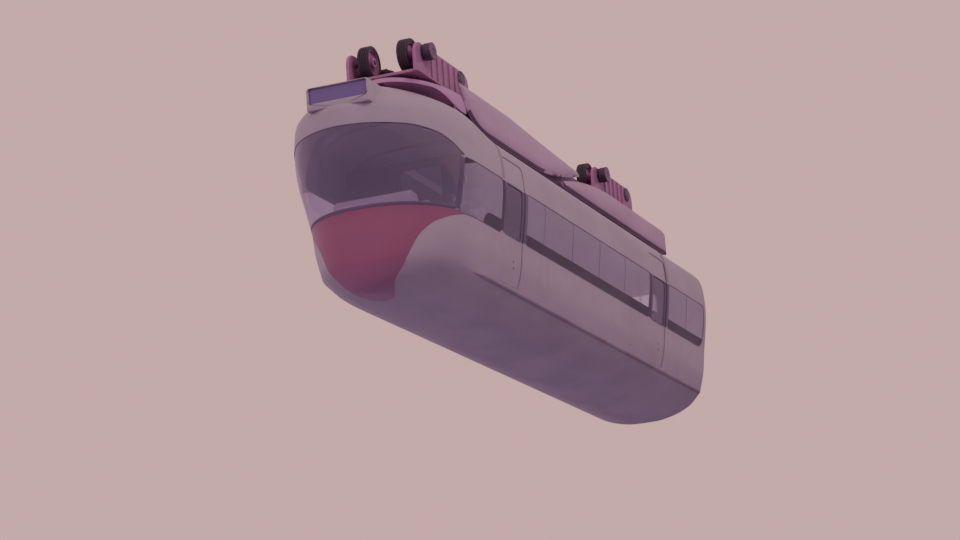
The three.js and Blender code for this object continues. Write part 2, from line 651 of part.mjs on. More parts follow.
// Sliding door leaves inside the wall; each slides back along X behind the window
const leafSkin = envelope(LEAF_FACE).subtract(envelope(LEAF_DEPTH));
const leafGlassDepth = LEAF_FACE + LEAF.glassDepth;
const leafGlassSkin = envelope(leafGlassDepth).subtract(envelope(leafGlassDepth + GLASS));
function leafLight(door, side, shrink) {
  const x0 = door.from + LEAF.glassMargin + shrink;
  const x1 = door.to - LEAF.glassMargin - shrink;
  const radii = Array(4).fill(LEAF.glassCorner);
  const shape = roundedRect(x0, x1, WINDOW_TOP + SILL + shrink, WINDOW_TOP - shrink, radii);
  return sidePlate(shape, ...across(side, 0, SIDE));
}
for (const door of DOORS) {
  const [x0, x1] = leafRange(door);
  const heights = [floorTop + LEAF.low, WINDOW_TOP + DOOR_TOP + LEAF.overlap];
  const blank = roundedRect(x0, x1, ...heights, [8, 8, 100, 100]);
  for (const side of SIDES) {
    const owner = `door_${door.name}_${side.name}`;
    const leaf = leafSkin.intersect(sidePlate(blank, ...across(side, 0, SIDE)));
    add(owner, `${owner}_leaf`, leaf.subtract(leafLight(door, side, 0)), white);
    add(owner, `${owner}_glass`, leafGlassSkin.intersect(leafLight(door, side, PANE_GAP)), glass);
  }
}

// Bogie frame: two cheeks joined under the rail's lower flange, with stub axles, guide arms and the kingpin
function withWheelGear(frame, x, side) {
  const s = side.sign;
  const face = FRAME.width / 2 - FRAME.cheek;
  const stub = face - WHEEL.y + WHEEL.width / 2 + 15;
  let made = frame;
  for (const dx of [-WHEEL.dx, WHEEL.dx]) {
    made = made.add(bar("y", WHEEL.axle, stub + 20, x + dx, s * (face - stub / 2 + 10), WHEEL.radius));
    made = made.add(bar("y", WHEEL.axlebox, 40, x + dx, s * (FRAME.width / 2 + 10), WHEEL.radius));
  }
  const armTop = GUIDE.z + GUIDE.width / 2 + 35;
  const pinLength = GUIDE.width + 45;
  const arm = across(side, GUIDE.y - 45, face + 5);
  for (const dx of [-GUIDE.dx, GUIDE.dx]) {
    made = made.add(box(x + dx - GUIDE.arm / 2, x + dx + GUIDE.arm / 2, ...arm, armTop - 25, armTop));
    made = made.add(bar("z", GUIDE.pin, pinLength, x + dx, s * GUIDE.y, armTop - pinLength / 2 - 5));
  }
  return made;
}

function bogieFrame(x) {
  const half = FRAME.width / 2;
  const end = FRAME.length / 2;
  const corners = [20, 20, FRAME.corner, FRAME.corner];
  const cheek = roundedRect(x - end, x + end, FRAME.plateLow, FRAME.top, corners);
  let frame = box(x - end + 20, x + end - 20, -half, half, FRAME.plateLow, FRAME.plateHigh);
  for (const side of SIDES) {
    frame = frame.add(sidePlate(cheek, ...across(side, half - FRAME.cheek, half)));
    frame = withWheelGear(frame, x, side);
  }
  const flangeTop = BOLSTER.top - BOLSTER.thick - 10;
  const pin = [flangeTop - 10, FRAME.plateHigh];
  frame = frame.add(bar("z", KINGPIN.radius, pin[1] - pin[0], x, 0, (pin[0] + pin[1]) / 2, 16));
  return frame.add(bar("z", KINGPIN.flange, 30, x, 0, flangeTop - 15, 16));
}

// A wheel as a ring turned about its axle
function wheel(radius, width, bore, segments, shape) {
  const near = shape.map(([r, w]) => [r * radius, (-w * width) / 2]);
  const far = shape.map(([r, w]) => [r * radius, (w * width) / 2]).reverse();
  const start = [bore, -width / 2];
  const profile = [start, ...near, ...far, [bore, width / 2], start];
  return new THREE.LatheGeometry(profile.map(([r, z]) => new THREE.Vector2(r, z)), segments);
}

for (const bogie of BOGIES) {
  const owner = `bogie_${bogie.name}`;
  add(owner, `${owner}_frame`, bogieFrame(bogie.x), oxide);
  const motorY = FRAME.width / 2 + 30 + GAP + MOTOR.length / 2;
  const motor = bar("y", MOTOR.radius, MOTOR.length, bogie.x + WHEEL.dx, motorY, WHEEL.radius, 16);
  add(owner, `${owner}_motor`, motor, steel);
  for (const side of SIDES) {
    for (const [end, dx] of [["front", 1], ["back", -1]]) {
      const loadName = `${owner}_wheel_${end}_${side.name}`;
      const load = wheel(WHEEL.radius, WHEEL.width, WHEEL.axle + BEARING_GAP, 20, DISHED);
      load.translate(bogie.x + dx * WHEEL.dx, side.sign * WHEEL.y, WHEEL.radius);
      add(loadName, loadName, solid(load), rubber);
      const guideName = `${owner}_guide_${end}_${side.name}`;
      const guide = wheel(GUIDE.radius, GUIDE.width, GUIDE.pin + BEARING_GAP, 14, PLAIN);
      guide.rotateX(Math.PI / 2);
      guide.translate(bogie.x + dx * GUIDE.dx, side.sign * GUIDE.y, GUIDE.z);
      add(guideName, guideName, solid(guide), rubber);
    }
  }
}

const group = new THREE.Group();
for (const part of bodies.values()) group.add(part);

export default group;
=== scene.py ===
# %% [markdown]
# # A suspended monorail front car
#
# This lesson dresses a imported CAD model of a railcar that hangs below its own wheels. The body is a smooth
# white tube with a rounded glass front and a red chin. Two bogies on rubber tyres carry it from above,
# and curved fairings hide the hangers between the roof and the bogies.
#
# The CAD model is the frame: it says where every piece is and which body it moves with. Here each piece
# gets its true curves, edges, fittings and finish.

# %% Load the frame
import math

import bmesh
import bpy
import numpy as np
from mathutils import Matrix, Vector
from mathutils.geometry import delaunay_2d_cdt


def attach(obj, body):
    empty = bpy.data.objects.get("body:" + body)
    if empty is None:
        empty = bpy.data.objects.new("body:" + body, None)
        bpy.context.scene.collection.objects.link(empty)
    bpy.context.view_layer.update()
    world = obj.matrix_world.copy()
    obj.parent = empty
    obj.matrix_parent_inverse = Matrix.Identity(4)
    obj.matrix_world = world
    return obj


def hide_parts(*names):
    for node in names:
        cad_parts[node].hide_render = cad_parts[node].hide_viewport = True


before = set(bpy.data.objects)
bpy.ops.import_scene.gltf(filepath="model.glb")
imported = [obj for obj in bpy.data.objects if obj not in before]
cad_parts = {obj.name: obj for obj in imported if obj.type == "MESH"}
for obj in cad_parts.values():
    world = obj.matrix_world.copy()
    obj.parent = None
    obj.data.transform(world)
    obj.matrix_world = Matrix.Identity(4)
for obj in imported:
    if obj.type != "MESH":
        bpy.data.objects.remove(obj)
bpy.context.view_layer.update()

# %% [markdown]
# ## Camera
#
# The car is seen from the ground, well ahead of it and to its left, through a long lens. Blender's lens
# is given in millimetres on a 36 mm sensor, so a focal length in pixels becomes lens = f / width * 36.
# The camera's axes are worked out from three directions: right, down and forward.

# %% Camera
PHOTO_WIDTH = 960
SENSOR = 36.0
FOCAL_PIXELS = 2650.0
CENTRE_OFFSET_PIXELS = 2.0  # the lens axis is this far left of the picture's middle
FARTHEST_SEEN = 2000.0
CAMERA_AT = Vector((37.999, 14.253, -12.279))
CAMERA_RIGHT = Vector((-0.3788, 0.9231, -0.0677))
CAMERA_FORWARD = Vector((-0.9027, -0.3523, 0.2473))

camera_data = bpy.data.cameras.new("camera")
camera_data.sensor_width = SENSOR
camera_data.lens = FOCAL_PIXELS / PHOTO_WIDTH * SENSOR
camera_data.shift_x = CENTRE_OFFSET_PIXELS / PHOTO_WIDTH
camera_data.clip_end = FARTHEST_SEEN
camera = bpy.data.objects.new("camera", camera_data)
bpy.context.scene.collection.objects.link(camera)
back = -CAMERA_FORWARD.normalized()
right = (CAMERA_RIGHT - CAMERA_RIGHT.dot(back) * back).normalized()
up = back.cross(right)
camera.matrix_world = Matrix.Translation(CAMERA_AT) @ Matrix((right, up, back)).transposed().to_4x4()
bpy.context.scene.camera = camera
print("lens:", round(camera_data.lens, 2), "mm, distance:", round(CAMERA_AT.length, 1), "m")

# %% [markdown]
# ## Studio
#
# A pale floor lies just below the camera, twelve metres under the wheels. An even pale sky gives most of
# the light, so the roof is lightest and the belly only gets what the floor sends back. The sky that the
# camera sees is brighter than the one that lights the car, which gives the soft backlit look of a hazy day.
# One large, soft lamp on the near side rounds the shapes a little, and a second one lights the nose. Both
# are kept out of reflections, because under an overcast sky the glass shows no lamp.

# %% Floor, sky and lamp
FLOOR_BELOW_CAMERA = 0.2
FLOOR_SIZE = 600.0
SKY_SEEN = (0.92, 0.50, 0.48)
SKY_LIGHT = (0.456, 0.291, 0.359)
FLOOR_COLOUR = (0.55, 0.55, 0.73)


def plain_material(name, colour, roughness):
    """A material that is only a Principled shader, for what isn't part of the car."""
    material = bpy.data.materials.new(name)
    material.use_nodes = True
    shader = material.node_tree.nodes["Principled BSDF"]
    shader.inputs["Base Color"].default_value = (*colour, 1)
    shader.inputs["Roughness"].default_value = roughness
    return material


floor_mesh = bpy.data.meshes.new("studio_floor")
reach = FLOOR_SIZE / 2
floor_corners = [(-reach, -reach, 0), (reach, -reach, 0), (reach, reach, 0), (-reach, reach, 0)]
floor_mesh.from_pydata(floor_corners, [], [(0, 1, 2, 3)])
floor = bpy.data.objects.new("studio_floor", floor_mesh)
floor.location.z = CAMERA_AT.z - FLOOR_BELOW_CAMERA
floor_mesh.materials.append(plain_material("floor_pale", FLOOR_COLOUR, 0.9))
bpy.context.scene.collection.objects.link(floor)

world = bpy.data.worlds.new("pale_sky")
bpy.context.scene.world = world
world.use_nodes = True
sky = world.node_tree
ray = sky.nodes.new("ShaderNodeLightPath")
sky_mix = sky.nodes.new("ShaderNodeMix")
sky_mix.data_type = "RGBA"
sky_mix.inputs[6].default_value = (*SKY_LIGHT, 1)
sky_mix.inputs[7].default_value = (*SKY_SEEN, 1)
sky.links.new(ray.outputs["Is Camera Ray"], sky_mix.inputs["Factor"])
sky.links.new(sky_mix.outputs[2], sky.nodes["Background"].inputs["Color"])

LAMP_SIZE = 14.0
# place, what the lamp looks at, watts and colour
LAMPS = {
    "near_lamp": ((14.0, 20.0, 14.0), (0.0, 0.0, -2.0), 1800.0, (1.0, 0.84, 0.96)),
    "nose_lamp": ((52.0, -44.0, 10.0), (5.0, 0.0, -2.5), 7000.0, (1.0, 0.78, 0.95)),
}
for name, (place, target, watts, colour) in LAMPS.items():
    lamp_data = bpy.data.lights.new(name, "AREA")
    lamp_data.shape = "DISK"
    lamp_data.size = LAMP_SIZE
    lamp_data.energy = watts
    lamp_data.color = colour
    lamp = bpy.data.objects.new(name, lamp_data)
    lamp.location = place
    lamp.rotation_mode = "QUATERNION"
    lamp.rotation_quaternion = (lamp.location - Vector(target)).to_track_quat("Z", "Y")
    lamp.visible_glossy = False
    bpy.context.scene.collection.objects.link(lamp)
print("floor at", round(floor.location.z, 2), "m")

# %% [markdown]
# ## Shared effects
#
# Painted steel that has been outdoors for years is never one colour. The paint is a little cloudy, and rain
# leaves pale and dark streaks down the sides. Faces that look down are darkened too, which is painted
# shade. Each of these is an effect that several finishes share, so each is a node group with named sockets
# that is built once. A group only gives out colours, masks and heights. The shader itself stays in the
# material.
#
# The groups read the object's own coordinates in metres, so that the pattern stays on a piece that moves.

# %% Node group helpers
FLOAT, COLOUR = "NodeSocketFloat", "NodeSocketColor"


def new_group(name, inputs, outputs):
    """A shader node group with its sockets, and its input and output nodes."""
    group = bpy.data.node_groups.new(name, "ShaderNodeTree")
    for label, kind, value in inputs:
        socket = group.interface.new_socket(label, in_out="INPUT", socket_type=kind)
        socket.default_value = value
    for label, kind in outputs:
        group.interface.new_socket(label, in_out="OUTPUT", socket_type=kind)
    return group, group.nodes.new("NodeGroupInput"), group.nodes.new("NodeGroupOutput")


def feed(tree, socket, value):
    """Links a socket into another one, or sets a plain number or colour there."""
    if isinstance(value, bpy.types.NodeSocket):
        tree.links.new(value, socket)
    else:
        socket.default_value = (*value, 1) if isinstance(value, tuple) else value


def noise(tree, vector, scale, detail=4.0):
    """A noise texture's factor, from a vector socket and a scale that is a number or a socket."""
    node = tree.nodes.new("ShaderNodeTexNoise")
    node.inputs["Detail"].default_value = detail
    tree.links.new(vector, node.inputs["Vector"])
    feed(tree, node.inputs["Scale"], scale)
    return node.outputs["Fac"]


def ramp(tree, value, low, high):
    """The value stretched so that low becomes 0 and high becomes 1."""
    node = tree.nodes.new("ShaderNodeMapRange")
    node.interpolation_type = "SMOOTHSTEP"
    node.inputs["From Min"].default_value = low
    node.inputs["From Max"].default_value = high
    tree.links.new(value, node.inputs["Value"])
    return node.outputs["Result"]


def maths(tree, operation, a, b):
    """One Math node; a and b are sockets or numbers."""
    node = tree.nodes.new("ShaderNodeMath")
    node.operation = operation
    feed(tree, node.inputs[0], a)
    feed(tree, node.inputs[1], b)
    return node.outputs[0]


def mixed(tree, factor, a, b):
    """A colour mix; a and b are colour sockets or plain colours."""
    node = tree.nodes.new("ShaderNodeMix")
    node.data_type = "RGBA"
    tree.links.new(factor, node.inputs["Factor"])
    feed(tree, node.inputs[6], a)
    feed(tree, node.inputs[7], b)
    return node.outputs[2]


def stretched(tree, scale):
    """The object's own coordinates, stretched by a scale for each axis."""
    coordinates = tree.nodes.new("ShaderNodeTexCoord")
    mapping = tree.nodes.new("ShaderNodeMapping")
    mapping.inputs["Scale"].default_value = scale
    tree.links.new(coordinates.outputs["Object"], mapping.inputs["Vector"])
    return mapping.outputs["Vector"]


# %% [markdown]
# ### Weathered paint and painted shade
#
# A slow noise makes the paint cloudy. A second noise, squeezed along the height, draws rain streaks. The
# surface normal tells how far a face looks down: there the colour is darkened, which is painted shade, and
# no rain runs.

# %% The weathering and shade group
CLOUD_SCALE = (0.5, 0.9, 1.2)
STREAK_SCALE = (9.0, 9.0, 0.5)  # fine across, long down the side
FADE_SCALE = (0.6, 0.6, 0.8)
MOST_DIRT_AND_SHADE = 0.95
CLEAN_ROUGHNESS, DIRT_AND_SHADE_ROUGHNESS = 0.32, 0.45


def make_weathering_and_shade():
    group, given, out = new_group(
        "weathering_and_shade",
        [("Colour", COLOUR, (0.8, 0.8, 0.8, 1)), ("Dirt and shade colour", COLOUR, (0.1, 0.08, 0.08, 1)),
         ("Cloud", FLOAT, 0.1), ("Streaks", FLOAT, 0.2), ("Underside shade", FLOAT, 0.2)],
        [("Colour", COLOUR), ("Dirt and shade", FLOAT), ("Roughness", FLOAT)],
    )
    cloud = ramp(group, noise(group, stretched(group, CLOUD_SCALE), 1.6, 6.0), 0.35, 0.7)
    streak = ramp(group, noise(group, stretched(group, STREAK_SCALE), 1.0, 5.0), 0.48, 0.8)
    fade = ramp(group, noise(group, stretched(group, FADE_SCALE), 2.1, 3.0), 0.38, 0.66)
    normal = group.nodes.new("ShaderNodeNewGeometry")
    axes = group.nodes.new("ShaderNodeSeparateXYZ")
    group.links.new(normal.outputs["Normal"], axes.inputs[0])
    facing_down = ramp(group, maths(group, "MULTIPLY", axes.outputs["Z"], -1.0), 0.0, 0.62)
    # faces that look down are darkened here: this is painted shade
    shade_below = maths(group, "MULTIPLY", facing_down, given.outputs["Underside shade"])
    upright = maths(group, "SUBTRACT", 1.0, facing_down)
    running = maths(group, "MULTIPLY", maths(group, "MULTIPLY", streak, fade), upright)
    streaks = maths(group, "MULTIPLY", running, given.outputs["Streaks"])
    clouds = maths(group, "MULTIPLY", cloud, given.outputs["Cloud"])
    dirt_and_shade = maths(group, "MINIMUM", maths(group, "ADD", maths(group, "ADD", clouds, streaks), shade_below), MOST_DIRT_AND_SHADE)
    shade = mixed(group, dirt_and_shade, given.outputs["Colour"], given.outputs["Dirt and shade colour"])
    group.links.new(shade, out.inputs["Colour"])
    group.links.new(dirt_and_shade, out.inputs["Dirt and shade"])
    rough = maths(group, "ADD", maths(group, "MULTIPLY", dirt_and_shade, DIRT_AND_SHADE_ROUGHNESS), CLEAN_ROUGHNESS)
    group.links.new(rough, out.inputs["Roughness"])
    return group


weathering_and_shade = make_weathering_and_shade()
print("group:", weathering_and_shade.name, [s.name for s in weathering_and_shade.interface.items_tree])

# %% [markdown]
# ### Worn edges
#
# Paint goes first where hands, tools and stones touch it: on corners. Cycles' pointiness is high on
# convex edges. Broken up by noise, it becomes a mask of chips that a second colour fills.

# %% The edge wear group
def make_edge_wear():
    group, given, out = new_group(
        "edge_wear",
        [("Colour", COLOUR, (0.5, 0.5, 0.5, 1)), ("Bare colour", COLOUR, (0.3, 0.28, 0.27, 1)),
         ("Amount", FLOAT, 0.5), ("Chip scale", FLOAT, 25.0)],
        [("Colour", COLOUR), ("Bare", FLOAT)],
    )
    geometry = group.nodes.new("ShaderNodeNewGeometry")
    edge = ramp(group, geometry.outputs["Pointiness"], 0.51, 0.60)
    chip_noise = noise(group, stretched(group, (1, 1, 1)), given.outputs["Chip scale"], 5.0)
    chips = ramp(group, chip_noise, 0.42, 0.6)
    bare = maths(group, "MULTIPLY", maths(group, "MULTIPLY", edge, chips), given.outputs["Amount"])
    shade = mixed(group, bare, given.outputs["Colour"], given.outputs["Bare colour"])
    group.links.new(shade, out.inputs["Colour"])
    group.links.new(bare, out.inputs["Bare"])
    return group


edge_wear = make_edge_wear()
print("group:", edge_wear.name)

# %% [markdown]
# ### Fine grain
#
# Sprayed paint has a faint orange peel, rubber and moulded plastic a finer grain, and cloth a weave. Each
# is a height between 0 and 1 that a Bump node in the material turns into a normal.

# %% The grain and weave groups
def make_grain():
    group, given, out = new_group(
        "grain", [("Scale", FLOAT, 300.0), ("Coarse share", FLOAT, 0.4)], [("Height", FLOAT)]
    )
    place = stretched(group, (1, 1, 1))
    fine = noise(group, place, given.outputs["Scale"], 3.0)
    coarse = noise(group, place, maths(group, "MULTIPLY", given.outputs["Scale"], 0.06), 3.0)
    share = maths(group, "MULTIPLY", coarse, given.outputs["Coarse share"])
    group.links.new(maths(group, "ADD", fine, share), out.inputs["Height"])
    return group


def make_weave():
    group, given, out = new_group(
        "weave",
        [("Thread", FLOAT, 0.004), ("Colour", COLOUR, (0.2, 0.2, 0.3, 1)),
         ("Fleck", COLOUR, (0.4, 0.4, 0.5, 1))],
        [("Colour", COLOUR), ("Height", FLOAT)],
    )
    axes = group.nodes.new("ShaderNodeSeparateXYZ")
    group.links.new(stretched(group, (1, 1, 1)), axes.inputs[0])
    turns = maths(group, "DIVIDE", math.pi, given.outputs["Thread"])
    along = maths(group, "ADD", axes.outputs["X"], maths(group, "MULTIPLY", axes.outputs["Z"], 0.7))
    across = maths(group, "ADD", axes.outputs["Y"], maths(group, "MULTIPLY", axes.outputs["Z"], 0.7))
    warp = maths(group, "SINE", maths(group, "MULTIPLY", along, turns), 0.0)
    weft = maths(group, "SINE", maths(group, "MULTIPLY", across, turns), 0.0)
    height = maths(group, "ADD", maths(group, "MULTIPLY", maths(group, "MULTIPLY", warp, weft), 0.5), 0.5)
    fleck = ramp(group, noise(group, stretched(group, (1, 1, 1)), 260.0, 2.0), 0.55, 0.7)
    shade = mixed(group, fleck, given.outputs["Colour"], given.outputs["Fleck"])
    group.links.new(shade, out.inputs["Colour"])
    group.links.new(height, out.inputs["Height"])
    return group


grain = make_grain()
weave = make_weave()
print("groups:", grain.name, weave.name)

# %% [markdown]
# ## Finishes
#
# Every finish is one material with its own Principled shader, fed by the groups above with its own values.
# A finish is described by a short row: its colour, the colour of its dirt and shade, how cloudy and streaked
# it is, how much painted shade darkens its faces that look down, and the grain of its surface.

# %% Material maker
def place_group(material, group, values):
    """Puts a group into a material with values for its inputs, and returns the node."""
    node = material.node_tree.nodes.new("ShaderNodeGroup")
    node.node_tree = group
    for label, value in values.items():
        feed(material.node_tree, node.inputs[label], value)
    return node


def add_bump(material, height, depth):
    """A Bump node of a depth in metres between a height and the shader's normal."""
    tree = material.node_tree
    bump = tree.nodes.new("ShaderNodeBump")
    bump.inputs["Distance"].default_value = depth
    bump.inputs["Strength"].default_value = 0.6
    tree.links.new(height, bump.inputs["Height"])
    tree.links.new(bump.outputs["Normal"], tree.nodes["Principled BSDF"].inputs["Normal"])


def painted(
    name, colour, dirt_and_shade, cloud, streaks, shade_below, coat=0.0, metallic=0.0, wear=0.0, bare=(0.3, 0.27, 0.26),
    grain_scale=220.0, grain_depth=0.0004,
):
    """Weathered paint or bare metal: weathering and painted shade, then worn edges, then fine grain."""
    material = plain_material(name, colour, 0.4)
    tree = material.node_tree
    shader = tree.nodes["Principled BSDF"]
    shader.inputs["Metallic"].default_value = metallic
    shader.inputs["Coat Weight"].default_value = coat
    shader.inputs["Coat Roughness"].default_value = 0.12
    weather_and_shade = place_group(
        material, weathering_and_shade,
        {"Colour": colour, "Dirt and shade colour": dirt_and_shade, "Cloud": cloud, "Streaks": streaks, "Underside shade": shade_below},
    )
    shade = weather_and_shade.outputs["Colour"]
    if wear:
        worn = place_group(material, edge_wear, {"Colour": shade, "Bare colour": bare, "Amount": wear})
        shade = worn.outputs["Colour"]
    tree.links.new(shade, shader.inputs["Base Color"])
    tree.links.new(weather_and_shade.outputs["Roughness"], shader.inputs["Roughness"])
    fine = place_group(material, grain, {"Scale": grain_scale})
    add_bump(material, fine.outputs["Height"], grain_depth)
    return material


# %% [markdown]
# ### The car's paints, metals and rubbers
#
# The body is off-white gloss enamel that has gone slightly chalky. The chin is deep red, the long
# fairings a pale pink, and the running gear a dark red oxide. Rubber is nearly black with a dusty bloom.

# %% Paints, metals and rubbers
# each finish: its colour, the colour of its dirt and shade, how cloudy and streaked it is,
# and how much painted shade darkens its faces that look down
body_white = painted("body_white", (0.500, 0.430, 0.450), (0.20, 0.15, 0.18), 0.14, 0.20, 0.40, coat=0.2)
nose_red = painted("nose_red", (0.34, 0.100, 0.172), (0.30, 0.145, 0.24), 0.20, 0.12, 0.35, coat=0.4)
fairing_pink = painted("fairing_pink", (0.60, 0.40, 0.50), (0.32, 0.18, 0.25), 0.20, 0.25, 0.30, coat=0.1)
oxide_paint = painted(
    "oxide_paint", (0.47, 0.20, 0.35), (0.30, 0.13, 0.23), 0.30, 0.30, 0.20, wear=0.4, bare=(0.46, 0.34, 0.38)
)
dark_steel = painted(
    "dark_steel", (0.24, 0.16, 0.23), (0.09, 0.065, 0.09), 0.35, 0.2, 0.3, metallic=0.3, wear=0.4
)
# a lighter copy of the bogies' dark red: painted light, to lift the shade under the bogie
shroud_lightened_red = painted("shroud_lightened_red", (0.66, 0.36, 0.54), (0.40, 0.19, 0.32), 0.25, 0.2, 0.25)
# a dark colour for the roof spine and the closing plates: painted shade under the fairings
under_fairing_shade = painted("under_fairing_shade", (0.20, 0.13, 0.23), (0.12, 0.08, 0.13), 0.35, 0.2, 0.2)
bare_steel = painted(
    "bare_steel", (0.22, 0.205, 0.22), (0.05, 0.04, 0.04), 0.40, 0.20, 0.35, metallic=0.8, wear=0.7,
    bare=(0.5, 0.48, 0.48),
)
dark_rubber = painted(
    "dark_rubber", (0.055, 0.040, 0.066), (0.09, 0.07, 0.09), 0.35, 0.15, 0.1, grain_depth=0.0008
)
tyre_rubber = painted(
    "tyre_rubber", (0.045, 0.036, 0.050), (0.10, 0.085, 0.08), 0.45, 0.1, 0.1, grain_depth=0.001
)
cabin_trim = painted("cabin_trim", (0.060, 0.052, 0.066), (0.03, 0.026, 0.03), 0.2, 0.05, 0.2)
floor_cover = painted(
    "floor_cover", (0.16, 0.145, 0.16), (0.06, 0.05, 0.055), 0.45, 0.0, 0.0, grain_scale=90.0
)
sign_blue = painted("sign_blue", (0.205, 0.14, 0.31), (0.21, 0.16, 0.29), 0.25, 0.15, 0.0, coat=0.5)
# the ceiling's colour is darkened: painted shade for the dim cabin
ceiling_shaded = painted("ceiling_shaded", (0.26, 0.225, 0.29), (0.18, 0.15, 0.20), 0.2, 0.0, 0.1)
desk_grey = painted("desk_grey", (0.44, 0.39, 0.45), (0.24, 0.21, 0.25), 0.2, 0.0, 0.1)
post_grey = painted("post_grey", (0.17, 0.125, 0.19), (0.10, 0.08, 0.11), 0.3, 0.1, 0.1)
# a dark colour for the fairings' lower edge: painted shade, the shadow gap under them
fairing_shadow_edging = painted("fairing_shadow_edging", (0.13, 0.09, 0.15), (0.10, 0.07, 0.11), 0.3, 0.1, 0.1)
joint_grey = painted("joint_grey", (0.36, 0.31, 0.33), (0.16, 0.12, 0.14), 0.3, 0.3, 0.2)
dark_joint = painted("dark_joint", (0.27, 0.21, 0.26), (0.15, 0.11, 0.14), 0.4, 0.3, 0.2)
print("paints and rubbers:", len([m for m in bpy.data.materials if m.node_tree]))

# %% [markdown]
# ### Glass and cloth
#
# The panes are laminated glass with a grey-violet tint. A plain Transmission Weight with a low roughness
# does it, and the tint comes from the base colour. The rest of the weight is the bloom of old glass, which
# scatters light instead of letting it through. A Light Path node lets daylight pass straight into the
# cabin, because a path tracer seldom finds its way in through refracting glass. The seats are woven wool: a
# weave group gives both the flecked colour and the height of the threads.

# %% Glass, cloth and lamp lens
DAYLIGHT_SHARE = 0.7
LENS_COLOUR = (0.75, 0.72, 0.66)


def tinted_pane(name, colour, dust, clearness):
    """Dusty tinted glass that lets daylight pass straight through."""
    material = plain_material(name, colour, 0.04)
    tree = material.node_tree
    shader = tree.nodes["Principled BSDF"]
    shader.inputs["Transmission Weight"].default_value = clearness
    shader.inputs["IOR"].default_value = 1.45
    weather_and_shade = place_group(
        material, weathering_and_shade,
        {"Colour": colour, "Dirt and shade colour": dust, "Cloud": 0.12, "Streaks": 0.2, "Underside shade": 0.0},
    )
    tree.links.new(weather_and_shade.outputs["Colour"], shader.inputs["Base Color"])
    ray = tree.nodes.new("ShaderNodeLightPath")
    scattered = maths(tree, "MAXIMUM", ray.outputs["Is Shadow Ray"], ray.outputs["Is Diffuse Ray"])
    let_through = maths(tree, "MULTIPLY", scattered, DAYLIGHT_SHARE)
    tree.links.new(maths(tree, "SUBTRACT", 1.0, let_through), shader.inputs["Alpha"])
    return material


tinted_glass = tinted_pane("tinted_glass", (0.93, 0.84, 1.0), (0.90, 0.81, 0.98), 0.855)
door_glass = tinted_pane("door_glass", (0.48, 0.40, 0.60), (0.50, 0.42, 0.60), 0.90)
screen_glass = tinted_pane("screen_glass", (0.96, 0.84, 1.0), (0.88, 0.77, 0.94), 0.912)
seat_cloth = plain_material("seat_cloth", (0.10, 0.12, 0.20), 0.85)
threads = place_group(
    seat_cloth, weave, {"Thread": 0.006, "Colour": (0.085, 0.10, 0.17), "Fleck": (0.17, 0.16, 0.24)}
)
cloth_shader = seat_cloth.node_tree.nodes["Principled BSDF"]
seat_cloth.node_tree.links.new(threads.outputs["Colour"], cloth_shader.inputs["Base Color"])
cloth_shader.inputs["Sheen Weight"].default_value = 0.3
add_bump(seat_cloth, threads.outputs["Height"], 0.0008)
lamp_lens = plain_material("lamp_lens", LENS_COLOUR, 0.2)
haze = place_group(
    lamp_lens, weathering_and_shade,
    {"Colour": LENS_COLOUR, "Dirt and shade colour": (0.5, 0.45, 0.38), "Cloud": 0.3, "Streaks": 0.1,
     "Underside shade": 0.0},
)
lens_shader = lamp_lens.node_tree.nodes["Principled BSDF"]
lamp_lens.node_tree.links.new(haze.outputs["Colour"], lens_shader.inputs["Base Color"])
print("materials:", len(bpy.data.materials))

# %% [markdown]
# ## The body's skin
#
# The body is a tube whose section changes near the front, where each level curves round to the nose. The
# table gives fourteen levels from keel to roof. Each is a plan outline: a straight side at a half width, and
# a rounded front that starts and ends at given distances from the corner post.
#
# Modelling such a form by hand would take a subdivision cage with many edits. Here the skin is a formula
# instead: a point is found from its distance back from the nose (g) and its girth up from the keel (b).
# Every panel, pane, seam and rubber is then cut from the same skin, so all of them fit.

# %% Body dimensions
WINDOW_TOP = -1.56  # height of the side windows' top edge
REAR_X = -6.15
POST_X = 5.0
DOME_FROM, DOME_TO = 3.4, 4.5
WALL = 0.028
POCKET_SKIN = 0.008  # the wall's outer skin, behind which the door leaves run
SILL = -0.76
CREASE = -1.51
FLOOR_TOP = -1.45

# half width, height above the window top, rise of the dome, start and tip of the front ahead of the post,
# and two powers for the fullness of the front curve
LEVELS = np.array([
    (0.000, -1.914, 0.00, -1.00, 0.56, 2.4, 2.4),
    (0.200, -1.910, 0.00, -1.00, 0.58, 2.4, 2.4),
    (0.500, -1.860, 0.00, -1.00, 0.70, 2.4, 2.4),
    (0.840, -1.720, 0.00, -1.00, 0.80, 2.4, 2.4),
    (1.060, -1.510, 0.00, -0.90, 0.86, 2.4, 2.4),
    (1.160, -1.130, 0.00, -0.79, 0.84, 2.35, 2.3),
    (1.200, -0.830, 0.00, -0.70, 0.80, 2.3, 2.2),
    (1.300, 0.000, 0.00, -0.55, 1.25, 2.2, 1.95),
    (1.285, 0.270, 0.00, -0.55, 1.34, 2.2, 1.95),
    (1.240, 0.470, 0.08, -0.55, 1.37, 2.2, 1.95),
    (1.100, 0.640, 0.14, -0.55, 1.15, 2.1, 2.1),
    (0.750, 0.760, 0.20, -0.55, 0.98, 2.1, 2.1),
    (0.300, 0.800, 0.22, -0.55, 0.82, 2.0, 2.0),
    (0.000, 0.806, 0.22, -0.55, 0.80, 2.0, 2.0),
])
HALF, HEIGHT, RISE = range(3)  # the first columns
CREASE_ROW = 4
print("levels:", len(LEVELS))


